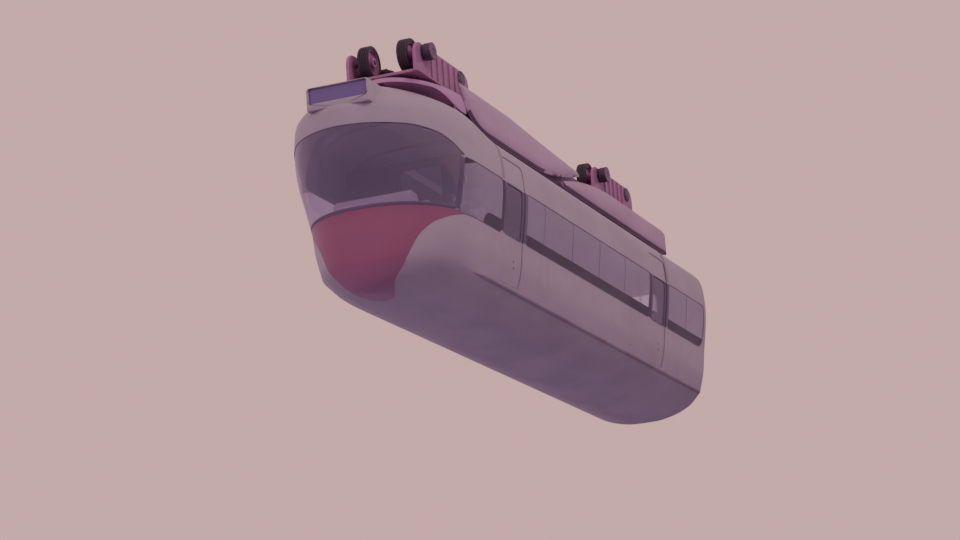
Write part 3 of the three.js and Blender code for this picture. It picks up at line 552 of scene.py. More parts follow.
# %% Smooth columns between the levels
def slopes(t, v):
    """Slopes for a curve through the values that never overshoots them."""
    step = np.diff(t)
    rate = np.diff(v) / step
    slope = np.empty_like(v)
    slope[0], slope[-1] = rate[0], rate[-1]
    same = rate[:-1] * rate[1:] > 0
    w0, w1 = 2 * step[1:] + step[:-1], step[1:] + 2 * step[:-1]
    with np.errstate(divide="ignore", invalid="ignore"):
        mean = (w0 + w1) / (w0 / rate[:-1] + w1 / rate[1:])
    slope[1:-1] = np.where(same, mean, 0.0)
    return slope


def curve(t, v, at):
    """A smooth curve through values v at t, read at new places."""
    slope = slopes(t, v)
    i = np.clip(np.searchsorted(t, at, side="right") - 1, 0, len(t) - 2)
    step = t[i + 1] - t[i]
    u = (at - t[i]) / step
    return (
        (1 + 2 * u) * (1 - u) ** 2 * v[i] + u * (1 - u) ** 2 * step * slope[i]
        + u * u * (3 - 2 * u) * v[i + 1] + u * u * (u - 1) * step * slope[i + 1]
    )


girth = np.concatenate([[0], np.cumsum(np.hypot(np.diff(LEVELS[:, HALF]), np.diff(LEVELS[:, HEIGHT])))])
ROW_STEP = 0.02
b_rows = np.unique(np.concatenate([np.arange(0, girth[-1], ROW_STEP), girth]))
below = b_rows <= girth[CREASE_ROW]
split = CREASE_ROW + 1
rows = np.empty((len(b_rows), LEVELS.shape[1]))
for column in range(LEVELS.shape[1]):
    values = LEVELS[:, column]
    rows[below, column] = curve(girth[:split], values[:split], b_rows[below])
    rows[~below, column] = curve(girth[CREASE_ROW:], values[CREASE_ROW:], b_rows[~below])
GIRTH = girth[-1]
print("half girth:", round(GIRTH, 3), "m in", len(b_rows), "rows")

# %% [markdown]
# ### From distance and girth to a point
#
# Along the nose each row is walked by arc length, so that equal steps in g are near equal steps on the
# surface. All points are tabled on a fine grid, and the skin is read from the grid by blending the four
# nearest points. Normals come from the grid's differences, and a panel's thickness follows them inwards.
# On the nose they are averaged over the rows near the crease, so that the crease fades out there.

# %% The skin table
NOSE_FROM = 3.9  # the straight side runs up to here on every level
NOSE_LENGTH = 2.6  # nominal arc length from there to the nose's centreline
NOSE_COLUMNS = 130
SIDE_STEP = 0.1
SPARE_LENGTH = 0.3  # the table runs on past the rear end
TURN_STEPS = 600


def smooth_step(t):
    c = np.clip(t, 0, 1)
    return c * c * (3 - 2 * c)


def dome(x):
    return smooth_step((x - DOME_FROM) / (DOME_TO - DOME_FROM))


g_nose = np.linspace(0, NOSE_LENGTH, NOSE_COLUMNS)
g_side = np.arange(NOSE_LENGTH + SIDE_STEP, NOSE_LENGTH + NOSE_FROM - REAR_X + SPARE_LENGTH, SIDE_STEP)
g_columns = np.concatenate([g_nose, g_side])
table = np.empty((len(b_rows), len(g_columns), 3))
turn = np.linspace(0, math.pi / 2, TURN_STEPS)
for i, (half, height, rise, start, tip, full_x, full_y) in enumerate(rows):
    x = POST_X + start + (tip - start) * np.sin(turn) ** (2 / full_x)
    y = half * np.maximum(np.cos(turn), 0) ** (2 / full_y)
    x = np.concatenate([[NOSE_FROM], x])
    y = np.concatenate([[half], y])
    walked = np.concatenate([[0], np.cumsum(np.hypot(np.diff(x), np.diff(y)))])
    at = (1 - g_nose / NOSE_LENGTH) * walked[-1]
    x_side = NOSE_FROM - (g_side - NOSE_LENGTH)
    table[i, :, 0] = np.concatenate([np.interp(at, walked, x), x_side])
    table[i, :, 1] = np.concatenate([np.interp(at, walked, y), np.full(len(g_side), half)])
    table[i, :, 2] = WINDOW_TOP + height + rise * dome(table[i, :, 0])
along = np.gradient(table, g_columns, axis=1)
upward = np.gradient(table, b_rows, axis=0)
normals = np.cross(upward, -along)
normals[:, 0, 1] = 0.0
normals /= np.maximum(np.linalg.norm(normals, axis=2, keepdims=True), 1e-9)
SOFT_ROWS = 9  # rows above and below that a normal is averaged over
SOFT_REACH = 0.22  # how far from the crease this fades out, along the girth
SOFT_LENGTH, SOFT_FADE = 1.5, 1.0  # how far back from the nose it holds, and then fades
stack = [np.roll(normals, k, axis=0) for k in range(-SOFT_ROWS, SOFT_ROWS + 1)]
near_crease = np.exp(-(((b_rows - girth[CREASE_ROW]) / SOFT_REACH) ** 2))[:, None, None]
on_front_end = 1 - smooth_step((g_columns - SOFT_LENGTH) / SOFT_FADE)[None, :, None]
normals += near_crease * on_front_end * (np.mean(stack, axis=0) - normals)
G_END = NOSE_LENGTH + NOSE_FROM - REAR_X
print("skin table:", table.shape, "nose at x", round(table[:, 0, 0].max(), 3))


# %% Reading the skin
def blend_table(values, g, b):
    """Values read from the grid, blended from the four nearest points."""
    u = np.interp(g, g_columns, np.arange(len(g_columns)))
    v = np.interp(b, b_rows, np.arange(len(b_rows)))
    i = np.minimum(u.astype(int), len(g_columns) - 2)
    j = np.minimum(v.astype(int), len(b_rows) - 2)
    s, t = (u - i)[:, None], (v - j)[:, None]
    low = values[j, i] * (1 - s) + values[j, i + 1] * s
    high = values[j + 1, i] * (1 - s) + values[j + 1, i + 1] * s
    return low * (1 - t) + high * t


def skin(flat, depth=0.0):
    """Points of the left half and their outward normals, at (g, b) places and a depth under the skin."""
    flat = np.asarray(flat, float).reshape(-1, 2)
    normal = blend_table(normals, flat[:, 0], flat[:, 1])
    normal /= np.maximum(np.linalg.norm(normal, axis=1, keepdims=True), 1e-9)
    return blend_table(table, flat[:, 0], flat[:, 1]) - np.asarray(depth) * normal, normal


def b_at(z, on_nose=False):
    """Girth of a height above the window top; on the nose the dome has its full rise."""
    return np.interp(z, rows[:, HEIGHT] + (rows[:, RISE] if on_nose else 0.0), b_rows)


def row_at(b):
    """All points of the skin at one girth, from the nose to the rear."""
    return blend_table(table, g_columns, np.full(len(g_columns), float(b)))


def from_side(x, z):
    """The place on the skin that is seen from the side at (x, z)."""
    b = float(b_at(z))
    return (float(np.interp(-x, -row_at(b)[:, 0], g_columns)), b)


def from_front(y, z):
    """The place on the nose that is seen from the front at (y, z)."""
    b = float(b_at(z, on_nose=True))
    return (float(np.interp(y, row_at(b)[:NOSE_COLUMNS, 1], g_nose)), b)


print("corner post foot at", [round(v, 3) for v in from_side(POST_X, SILL)])

# %% [markdown]
# ## From an outline to a panel
#
# A panel starts as a flat outline in (g, b), like a pattern for sheet metal. A grid of points fills it,
# a constrained Delaunay triangulation joins them, and the skin function bends it to shape. A second
# sheet inside gives the thickness, and a narrow chamfer round the edge catches the light. The alternative
# is a boolean cut from a solid body, but its long thin triangles would spoil the shading of curved paint.
#
# The shading normals are set from the skin itself, so that the panel looks smooth at any mesh density.

# %% Sheet maker
CHAMFER = 0.003
EDGE_STEP = 0.06  # longest step along an outline
EDGE_CLEAR = 0.45  # grid points keep this share of the spacing away from the outline
LONG_CELL = 3  # on the straight body the cells are this many times longer


def inside(polygon, points):
    """Which points lie inside a closed polygon."""
    hit = np.zeros(len(points), bool)
    a = polygon
    c = np.roll(polygon, -1, axis=0)
    for (x0, y0), (x1, y1) in zip(a, c):
        crosses = (y0 > points[:, 1]) != (y1 > points[:, 1])
        with np.errstate(divide="ignore", invalid="ignore"):
            x = (x1 - x0) * (points[:, 1] - y0) / (y1 - y0) + x0
        hit ^= crosses & (points[:, 0] < x)
    return hit


def edge_distance(polygon, points):
    """Distance of each point from the polygon's edges."""
    best = np.full(len(points), 1e9)
    for p, q in zip(polygon, np.roll(polygon, -1, axis=0)):
        d = q - p
        t = np.clip(((points - p) @ d) / max(d @ d, 1e-12), 0, 1)
        best = np.minimum(best, np.linalg.norm(points - (p + t[:, None] * d), axis=1))
    return best


def resample(path, step, closed=True):
    """Points along a path with no gap longer than the step. Corners stay."""
    path = np.asarray(path, float)
    ends = np.roll(path, -1, axis=0) if closed else path[1:]
    out = []
    for p, q in zip(path, ends):
        length = np.linalg.norm(q - p)
        if length < 1e-6:
            continue
        count = max(1, math.ceil(length / step))
        out += [p + (q - p) * k / count for k in range(count)]
    if not closed:
        out.append(path[-1])
    return np.array(out)


def area_of(polygon):
    """Signed area, positive where the outline runs counter-clockwise."""
    after = np.roll(polygon, -1, axis=0)
    return float(np.sum(polygon[:, 0] * after[:, 1] - after[:, 0] * polygon[:, 1])) / 2


def inset(polygon, amount, free=None):
    """The polygon moved inwards. Points on free edges only slide along them."""
    free = free or [False] * len(polygon)
    side = 1.0 if area_of(polygon) > 0 else -1.0
    before = polygon - np.roll(polygon, 1, axis=0)
    after = np.roll(polygon, -1, axis=0) - polygon
    moved = np.zeros_like(polygon)
    for k, (p, q) in enumerate(zip(before, after)):
        n0 = side * np.array([-p[1], p[0]]) / max(np.linalg.norm(p), 1e-9)
        n1 = side * np.array([-q[1], q[0]]) / max(np.linalg.norm(q), 1e-9)
        if free[k - 1] and free[k]:
            continue
        if free[k - 1]:
            n0 = n1 if abs(n0 @ n1) > 0.99 else n1 - (n1 @ n0) * n0
            n1 = n0
        elif free[k]:
            n1 = n0 if abs(n0 @ n1) > 0.99 else n0 - (n0 @ n1) * n1
            n0 = n1
        mid = n0 + n1
        moved[k] = amount * mid / max(mid @ mid / 2, 0.35)
    return polygon + moved


def grid_points(rings, spacing, long_cells):
    """Grid points inside the first ring and outside the others, fewer along the straight body."""
    low, high = rings[0].min(0), rings[0].max(0)
    across = np.arange(low[0] + spacing / 2, high[0], spacing)
    if long_cells:
        tail = np.arange(max(low[0] + spacing, NOSE_LENGTH), high[0], spacing * LONG_CELL)
        across = np.concatenate([across[across < NOSE_LENGTH], tail])
    upward = np.arange(low[1] + spacing / 2, high[1], spacing)
    points = np.stack(np.meshgrid(across, upward), -1).reshape(-1, 2)
    if not len(points):
        return points
    keep = inside(rings[0], points)
    for k, ring in enumerate(rings):
        keep &= edge_distance(ring, points) > EDGE_CLEAR * spacing
        if k:
            keep &= ~inside(ring, points)
    return points[keep]


def on_mirror_line(p, q):
    """Whether an edge lies on the nose's centreline, the keel or the crown."""
    return any(abs(p[k] - at) < 1e-6 and abs(q[k] - at) < 1e-6 for k, at in ((0, 0.0), (1, 0.0), (1, GIRTH)))


def sheet(outline, thickness, depth=0.0, holes=(), spacing=0.07, chamfer=CHAMFER, surface=skin):
    """A panel as (points, faces, normals per corner), bent to a surface and thickened inwards."""
    edges = [resample(ring, EDGE_STEP) for ring in (outline, *holes)]
    lips, frees = [], []
    for k, edge in enumerate(edges):
        after = np.roll(edge, -1, axis=0)
        free = [k == 0 and surface is skin and on_mirror_line(p, q) for p, q in zip(edge, after)]
        lips.append(inset(edge, chamfer if k == 0 else -chamfer, free))
        frees.append(free)
    fill = grid_points(lips, spacing, surface is skin)
    starts = np.cumsum([0] + [len(lip) for lip in lips])
    loops = [(s + k, s + (k + 1) % len(lip)) for s, lip in zip(starts, lips) for k in range(len(lip))]
    made = delaunay_2d_cdt([Vector(p) for p in np.concatenate(lips + [fill])], loops, [], 0, 1e-5)
    spots = np.array([tuple(v) for v in made[0]])
    triangles = np.array(made[2])
    middle = spots[triangles].mean(1)
    kept = inside(lips[0], middle)
    for lip in lips[1:]:
        kept &= ~inside(lip, middle)
    triangles = triangles[kept]
    a = spots[triangles]
    d, e = a[:, 1] - a[:, 0], a[:, 2] - a[:, 0]
    clockwise = d[:, 0] * e[:, 1] - d[:, 1] * e[:, 0] < 0
    triangles[clockwise] = triangles[clockwise][:, ::-1]
    outer, outer_n = surface(spots, depth)
    inner, inner_n = surface(spots, depth + thickness)
    total = len(spots)
    faces = [tuple(t) for t in triangles] + [tuple(t[::-1] + total) for t in triangles]
    faces_n = [tuple(outer_n[i] for i in t) for t in triangles]
    faces_n += [tuple(-inner_n[i] for i in t[::-1]) for t in triangles]
    order = {source: k for k, sources in enumerate(made[3]) for source in sources}
    points = [outer, inner]
    base = 2 * total
    for k, (edge, free) in enumerate(zip(edges, frees)):
        count = len(edge)
        points += [surface(edge, depth + chamfer)[0], surface(edge, depth + thickness - chamfer)[0]]
        ring = [order[starts[k] + i] for i in range(count)]
        forwards = (area_of(lips[k]) > 0) != (k > 0)
        for i in range(count):
            if free[i]:
                continue
            m = (i + 1) % count
            high, low = base + i, base + count + i
            high_m, low_m = base + m, base + count + m
            bands = [(ring[i], ring[m], high_m, high), (high, high_m, low_m, low),
                     (low, low_m, total + ring[m], total + ring[i])]
            for band in bands:
                faces.append(band[::-1] if forwards else band)
                faces_n.append(None)
        base += 2 * count
    return np.concatenate(points), faces, faces_n


print("sheet maker ready, chamfer", CHAMFER * 1000, "mm")


# %% Turning shapes into pieces
SHARP_ANGLE = math.radians(35)
MIRROR = np.array([1, -1, 1])


def mirrored(shape):
    """The same shape on the right side of the car."""
    points, faces, faces_n = shape
    normals_back = [None if n is None else tuple(v * MIRROR for v in n[::-1]) for n in faces_n]
    return points * MIRROR, [tuple(f[::-1]) for f in faces], normals_back


def joined(*shapes):
    """Several shapes as one."""
    points, faces, faces_n, base = [], [], [], 0
    for p, f, n in shapes:
        points.append(p)
        faces += [tuple(i + base for i in face) for face in f]
        faces_n += n
        base += len(p)
    return np.concatenate(points), faces, faces_n


def both_sides(shape):
    """A shape and its mirror image as one."""
    return joined(shape, mirrored(shape))


# a shape is made for the left side, and mirrored for the right
SIDES = {"left": lambda shape: shape, "right": mirrored}


def piece(name, shape, material, body, replaces=(), weld=0.0):
    """A mesh object from a shape. Faces without given normals stay flat at sharp edges."""
    points, faces, faces_n = shape
    if weld:
        keys, index = np.unique(np.round(points / weld).astype(int), axis=0, return_inverse=True)
        index = index.reshape(-1)
        merged = np.zeros((len(keys), 3))
        merged[index] = points
        points = merged
        kept = [(tuple(index[i] for i in f), n) for f, n in zip(faces, faces_n)]
        kept = [(f, n) for f, n in kept if len(set(f)) == len(f)]
        faces = [f for f, _ in kept]
        faces_n = [n for _, n in kept]
    mesh = bpy.data.meshes.new(name)
    mesh.from_pydata([tuple(p) for p in points], [], [tuple(int(i) for i in f) for f in faces])
    has_normals = any(n is not None for n in faces_n)
    if not has_normals:
        bm = bmesh.new()
        bm.from_mesh(mesh)
        bmesh.ops.recalc_face_normals(bm, faces=bm.faces)
        bm.to_mesh(mesh)
        bm.free()
    mesh.polygons.foreach_set("use_smooth", [True] * len(mesh.polygons))
    if has_normals:
        loops = []
        for polygon, given in zip(mesh.polygons, faces_n):
            flat = tuple(polygon.normal)
            loops += [flat] * polygon.loop_total if given is None else [tuple(v) for v in given]
        mesh.normals_split_custom_set(loops)
    else:
        mesh.set_sharp_from_angle(angle=SHARP_ANGLE)
    mesh.materials.append(material)
    obj = bpy.data.objects.new(name, mesh)
    bpy.context.scene.collection.objects.link(obj)
    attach(obj, body)
    if replaces:
        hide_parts(*replaces)
    return obj


# %% [markdown]
# ## Outlines of windows, doors and nose
#
# The side windows, the doors and the windscreen are notches in the panels' edges, because the roof and
# the side wall meet along the windows' top. An outline is drawn as it is seen from the side or from the
# front, in metres, with its corners as arcs, and then laid on the skin.

# %% Window and door outlines
# x range, sill height, radii of the lower front and rear corners, reach of the dark foot, places of the bars
WINDOWS = [
    {"name": "front", "from": 3.56, "to": 4.93, "low": -0.79, "radii": (0.06, 0.06),
     "dark_to": 4.22, "bars": ()},
    {"name": "middle", "from": -3.06, "to": 2.58, "low": SILL, "radii": (0.06, 0.06),
     "dark_to": 2.58, "bars": (1.86, 0.64, -0.58, -1.80)},
    {"name": "rear", "from": -6.01, "to": -4.06, "low": SILL, "radii": (0.06, 0.26),
     "dark_to": -4.06, "bars": (-5.03,)},
]
DOORS = [{"name": "front", "from": 2.66, "to": 3.48}, {"name": "rear", "from": -3.98, "to": -3.16}]
DOOR_TOP = 0.40
DOOR_CORNER = 0.09
TOP_CORNER = 0.06
DOOR_FOOT = FLOOR_TOP + 0.005


def arc(cx, cz, radius, start, end, steps=6):
    """Points on an arc, angles in degrees, counter-clockwise as seen with x to the right."""
    angles = np.radians(np.linspace(start, end, steps))
    return [(cx + radius * math.cos(t), cz + radius * math.sin(t)) for t in angles]


def window_notch(window):
    """The edge of a window below the window top, from its front to its rear."""
    x0, x1, low = window["from"], window["to"], window["low"]
    front, rear = window["radii"]
    r = TOP_CORNER
    return (
        arc(x1 - r, -r, r, 90, 0) + arc(x1 - front, low + front, front, 0, -90)
        + arc(x0 + rear, low + rear, rear, -90, -180) + arc(x0 + r, -r, r, 180, 90)
    )


def bezier(p0, p1, p2, steps=14):
    """A quadratic curve without its first point."""
    t = np.linspace(0, 1, steps + 1)[1:, None]
    return ((1 - t) ** 2 * np.array(p0) + 2 * t * (1 - t) * np.array(p1) + t**2 * np.array(p2)).tolist()


FOOT_TOP = -0.60
FOOT_SLOPE, FOOT_BEND = 0.25, 0.05  # length of the slope, and of its steep lower part


def window_foot(window):
    """The lower part of a window up to the foot's top. Where the foot starts inside the window, it slopes."""
    lower = [p for p in window_notch(window) if p[1] < FOOT_TOP and p[0] < window["dark_to"] + 0.001]
    if window["dark_to"] < window["to"]:
        end = (window["dark_to"], window["low"])
        start = (end[0] - FOOT_SLOPE, FOOT_TOP)
        front = [start] + bezier(start, (end[0] - FOOT_BEND, FOOT_TOP), end, 6)
    else:
        front = [(window["to"], FOOT_TOP)]
    return front + lower + [(window["from"], FOOT_TOP)]


def door_notch(door):
    """The edge of a doorway below the window top, from its front to its rear."""
    return [(door["to"], 0), (door["to"], DOOR_FOOT), (door["from"], DOOR_FOOT), (door["from"], 0)]


# The windscreen as seen from the front, from its top centre round to its foot at the post
SCREEN_TOP = 0.30
SCREEN_BOTTOM = -0.72
SCREEN_POST = 5.02
SCREEN_BROW = [(0.0, SCREEN_TOP), (0.85, SCREEN_TOP), (1.10, 0.25), (1.20, 0.16), (1.265, 0.03)]
# The red chin as seen from the front, from its upper corner down to the keel
CHIN_TOP = -0.76
CHIN_CORNER_Y = 1.17
CHIN = [(1.145, -0.81), (1.045, -0.88), (0.885, -1.02), (0.745, -1.21), (0.66, -1.38), (0.60, -1.51)]
CHIN_LOW = [(0.52, -1.63), (0.42, -1.74), (0.33, -1.84)]
# Its tail under the keel as seen from below, from front to rear
CHIN_TAIL = [(5.30, 0.23), (5.11, 0.13)]
CHIN_KEEL_X = 5.05


def rounded_path(points, steps=5):
    """A smooth curve through control points, for outlines that bend without corners."""
    points = np.asarray(points, float)
    t = np.concatenate([[0], np.cumsum(np.linalg.norm(np.diff(points, axis=0), axis=1))])
    spans = [np.linspace(p, q, steps, endpoint=False) for p, q in zip(t[:-1], t[1:])]
    at = np.unique(np.concatenate(spans + [[t[-1]]]))
    return np.stack([curve(t, points[:, k], at) for k in range(points.shape[1])], 1)


def on_side(points):
    return [from_side(x, z) for x, z in points]


def on_front(points):
    return [from_front(y, z) for y, z in points]


def from_below(x, y):
    """The place on the belly that is seen from below at (x, y)."""
    low = b_rows[b_rows < b_at(CREASE)]
    widths = [np.interp(-x, -row_at(b)[:, 0], row_at(b)[:, 1]) for b in low]
    b = float(np.interp(y, widths, low))
    return (float(np.interp(-x, -row_at(b)[:, 0], g_columns)), b)


screen_brow = on_front(rounded_path(SCREEN_BROW)) + on_side([(SCREEN_POST, 0.0)])
screen_foot = on_side([(SCREEN_POST, SCREEN_BOTTOM)])
chin_edge = on_front(rounded_path(CHIN + CHIN_LOW)) + [from_below(x, y) for x, y in CHIN_TAIL]
chin_edge.append((from_below(CHIN_KEEL_X, 0.0)[0], 0.0))
print("windscreen edge", len(screen_brow), "points, chin edge", len(chin_edge), "points")

# %% [markdown]
# ## White body panels
#
# The roof, two side walls and the belly pan are the four large panels. Each outline runs once round the
# panel on the left half of the skin. Panels that cross the centreline are mirrored and welded to it.

# %% Roof, side walls, belly and chin
def notches(kinds):
    """Window and door edges from front to rear, for those kinds that the panel has."""
    found = [(w["to"], window_notch(w)) for w in WINDOWS if "window" in kinds]
    found += [(d["to"], door_notch(d)) for d in DOORS]
    return [points for _, points in sorted(found, key=lambda item: -item[0])]


def roof_door(door):
    """The edge of a doorway above the window top, from its front to its rear."""
    r = DOOR_CORNER
    return (
        [(door["to"], 0)] + arc(door["to"] - r, DOOR_TOP - r, r, 0, 90)
        + arc(door["from"] + r, DOOR_TOP - r, r, 90, 180) + [(door["from"], 0)]
    )


B_WINDOW = float(b_at(0.0))
B_CREASE = float(b_at(CREASE))
roof_edge = list(screen_brow)
for door in sorted(DOORS, key=lambda d: -d["to"]):
    roof_edge += on_side(roof_door(door))
roof_edge += [(G_END, B_WINDOW), (G_END, GIRTH), (0.0, GIRTH)]

wall_edge = [from_side(SCREEN_POST, 0.0)]
for points in notches(["window"]):
    wall_edge += on_side(points)
wall_edge += [(G_END, B_WINDOW), (G_END, B_CREASE)]
chin_at_crease = from_front(float(np.interp(-CREASE, [-z for _, z in CHIN], [y for y, _ in CHIN])), CREASE)
upper_chin = [p for p in chin_edge if p[1] > B_CREASE + 0.01]
lower_chin = [p for p in chin_edge if p[1] < B_CREASE - 0.01]
B_CHIN_TOP = float(b_at(CHIN_TOP))
chin_corner = (from_front(CHIN_CORNER_Y, CHIN_TOP)[0], B_CHIN_TOP)
wall_edge += [chin_at_crease] + upper_chin[::-1] + [chin_corner, (0.0, B_CHIN_TOP)]
wall_edge += [(0.0, float(b_at(SCREEN_BOTTOM)))] + screen_foot

belly_edge = [chin_at_crease, (G_END, B_CREASE), (G_END, 0.0)] + lower_chin[::-1]
nose_edge = [(0.0, B_CHIN_TOP), chin_corner] + upper_chin + [chin_at_crease] + lower_chin + [(0.0, 0.0)]

PANEL_EDGE = 0.001
roof = sheet(roof_edge, POCKET_SKIN, chamfer=PANEL_EDGE)
wall = sheet(wall_edge, POCKET_SKIN, chamfer=PANEL_EDGE)
belly = sheet(belly_edge, WALL, chamfer=PANEL_EDGE)
chin = sheet(nose_edge, WALL, spacing=0.05)
WELD = 2e-5
piece("roof_panel", both_sides(roof), body_white, "car", ["roof_shell"], WELD)
piece("belly_panel", both_sides(belly), body_white, "car", ["belly_pan"], WELD)
piece("side_panel_left", wall, body_white, "car", ["side_wall_left"])
piece("side_panel_right", mirrored(wall), body_white, "car", ["side_wall_right"])
piece("chin_panel", both_sides(chin), nose_red, "car", ["nose_panel"], WELD)

# %% [markdown]
# ## Glass
#
# Each pane is a sheet of its own, set back from the skin and a millimetre smaller than its opening. The
# windscreen wraps from post to post, so it is made as a left half and mirrored like the roof.

# %% Panes
PANE_DEPTH, PANE_THICK, PANE_CLEAR = 0.002, 0.006, 0.0013


def pane(outline, depth=PANE_DEPTH, spacing=0.07):
    """A pane that fits inside an opening's outline."""
    opening = np.array(outline, float)
    free = [on_mirror_line(p, q) for p, q in zip(opening, np.roll(opening, -1, axis=0))]
    return sheet(inset(opening, PANE_CLEAR, free), PANE_THICK, depth, spacing=spacing, chamfer=0.001)


screen_outline = list(screen_brow) + screen_foot + [(0.0, float(b_at(SCREEN_BOTTOM)))]
screen = pane(screen_outline)
piece("windscreen_pane", both_sides(screen), screen_glass, "car", ["windscreen"], WELD)
for window in WINDOWS:
    made = pane(on_side(window_notch(window)))
    for side, to_side in SIDES.items():
        name = f"{window['name']}_{side}"
        piece(f"pane_{name}", to_side(made), tinted_glass, "car", [f"window_{name}"])
print("panes:", 1 + 2 * len(WINDOWS))

# %% [markdown]
# ## Rubbers, seals and joint covers
#
# A window rubber, a door seal and a joint cover are the same thing to a modeller: a small profile that
# follows a path on the skin. One function sweeps a profile of (across, up) points along a path, keeping
# "up" along the surface normal. Blender's curve bevel would roll freely round the path, so it isn't used.

# %% Sweeping a profile along the skin
def sweep(path, ups, profile, closed=False):
    """A profile of (across, up) points carried along a path, with the up direction given at each point."""
    path, ups = np.asarray(path, float), np.asarray(ups, float)
    count, width = len(path), len(profile)
    ahead = np.roll(path, -1, axis=0) - np.roll(path, 1, axis=0)
    if not closed:
        ahead[0], ahead[-1] = path[1] - path[0], path[-1] - path[-2]
    ahead /= np.maximum(np.linalg.norm(ahead, axis=1, keepdims=True), 1e-9)
    across = np.cross(ahead, ups)
    across /= np.maximum(np.linalg.norm(across, axis=1, keepdims=True), 1e-9)
    points = np.concatenate([path + a * across + u * ups for a, u in profile])
    faces = []
    for i in range(count if closed else count - 1):
        n = (i + 1) % count
        for k in range(width):
            m = (k + 1) % width
            faces.append((k * count + i, k * count + n, m * count + n, m * count + i))
    if not closed:
        faces.append(tuple(k * count for k in range(width)))
        faces.append(tuple(k * count + count - 1 for k in reversed(range(width))))
    return points, faces, [None] * len(faces)


def domed(width, low, high, steps=6):
    """A strip's section: flat foot at the low height, rounded back up to the high one."""
    angles = np.linspace(0, math.pi, steps + 1)
    crown = [(-width / 2 * math.cos(t), low + (high - low) * (0.35 + 0.65 * math.sin(t))) for t in angles]
    return [(width / 2, low), (-width / 2, low)] + crown


def smooth_path(flat, step=0.03):
    """A path on the skin as points and normals, with no long gaps."""
    spots = resample(flat, step, closed=False)
    keep = np.concatenate([[True], np.linalg.norm(np.diff(spots, axis=0), axis=1) > 1e-5])
    return skin(spots[keep])


def strip(flat, profile, closed=False):
    """A profile swept along a path on the skin."""
    flat = list(flat) + ([flat[0]] if closed else [])
    points, ups = smooth_path(flat)
    if closed:
        points, ups = points[:-1], ups[:-1]
    return sweep(points, ups, profile, closed)


def across_nose(flat, profile):
    """A strip that starts on the nose's centreline and runs back along both sides."""
    points, ups = smooth_path(flat)
    path = np.concatenate([(points * MIRROR)[:0:-1], points])
    lean = np.concatenate([(ups * MIRROR)[:0:-1], ups])
    return sweep(path, lean, profile)


# %% [markdown]
# ### Window rubbers and dark posts
#
# The glazing reads as one band from the windscreen to the tail, because the posts between the panes are
# covered with dark mouldings. A dark strip runs along the foot of the panes, slim bars divide the long
# ones, and a dark shade fills the foremost upper corner. The rubbers stand a few millimetres proud and lap
# over the glass edge.

# %% Rubbers and post covers
RUBBER_LOW, RUBBER_HIGH = -0.010, 0.004
RUBBER = domed(0.016, RUBBER_LOW, RUBBER_HIGH)
FOOT_LAP = 0.014  # the windscreen's foot rubber is this much wider than the gap under it
rubbers = [both_sides(strip(on_side(window_notch(window)), RUBBER, closed=True)) for window in WINDOWS]
piece("window_rubbers", joined(*rubbers), post_grey, "car")
brow_line = across_nose(list(screen_brow) + screen_foot, RUBBER)
foot_middle = (SCREEN_BOTTOM + CHIN_TOP) / 2
foot_path = [(0.0, float(b_at(foot_middle)))] + on_side([(SCREEN_POST, foot_middle)])
foot_line = across_nose(foot_path, domed(SCREEN_BOTTOM - CHIN_TOP + FOOT_LAP, RUBBER_LOW, RUBBER_HIGH))
piece("screen_rubber", joined(brow_line, foot_line), post_grey, "car")
print("rubbers:", len(rubbers) + 2)

# %% Post covers, foot strips and bars
COVER_PROUD, COVER_THICK = 0.003, 0.006
COVER_END = 0.012  # a cover stops this far short of the windows' foot and top
FOOT_DEPTH, FOOT_THICK = 0.0003, 0.0014
THIN_CHAMFER = 0.0003
BAR_HALF = 0.008
SHADE = [(4.915, -0.012), (4.915, -0.10), (4.60, -0.012)]  # in the foremost upper corner


def wall_strips(spans, z0, z1, depth, thick, chamfer=0.001):
    """Upright strips on both walls, one for each span of lengths."""
    strips = []
    for low_x, high_x in spans:
        corners = [(high_x, z1), (high_x, z0), (low_x, z0), (low_x, z1)]
        strips.append(both_sides(sheet(on_side(corners), thick, depth, chamfer=chamfer)))
    return joined(*strips)


POSTS = {
    "post_covers_dark": ([(3.48, 3.56), (-3.16, -3.06)], dark_rubber),
    "post_covers_grey": ([(4.93, 5.02), (2.58, 2.66), (-4.06, -3.98)], post_grey),
}
for name, (spans, finish) in POSTS.items():
    covers = wall_strips(spans, SILL + COVER_END, -COVER_END, -COVER_PROUD, COVER_THICK)
    piece(name, covers, finish, "car")
feet = []
for window in WINDOWS:
    outline = np.array(on_side(window_foot(window)))
    outline = inset(outline, PANE_CLEAR)
    feet.append(both_sides(sheet(outline, FOOT_THICK, FOOT_DEPTH, chamfer=THIN_CHAMFER)))
feet.append(both_sides(sheet(on_side(SHADE), FOOT_THICK, FOOT_DEPTH, chamfer=THIN_CHAMFER)))
piece("window_feet", joined(*feet), dark_rubber, "car")
bars = [(x - BAR_HALF, x + BAR_HALF) for window in WINDOWS for x in window["bars"]]
bar_strips = wall_strips(bars, FOOT_TOP + 0.002, -0.010, FOOT_DEPTH, FOOT_THICK, THIN_CHAMFER)
piece("window_bars", bar_strips, dark_joint, "car")
print("window bars:", 2 * len(bars))

# %% [markdown]
# ### Seams
#
# A flat strip covers the joint in the roof beside each door. A soft dark joint runs along the crease, where
# the side wall laps over the belly pan. It rises out of the skin behind the nose, where the crease is soft.

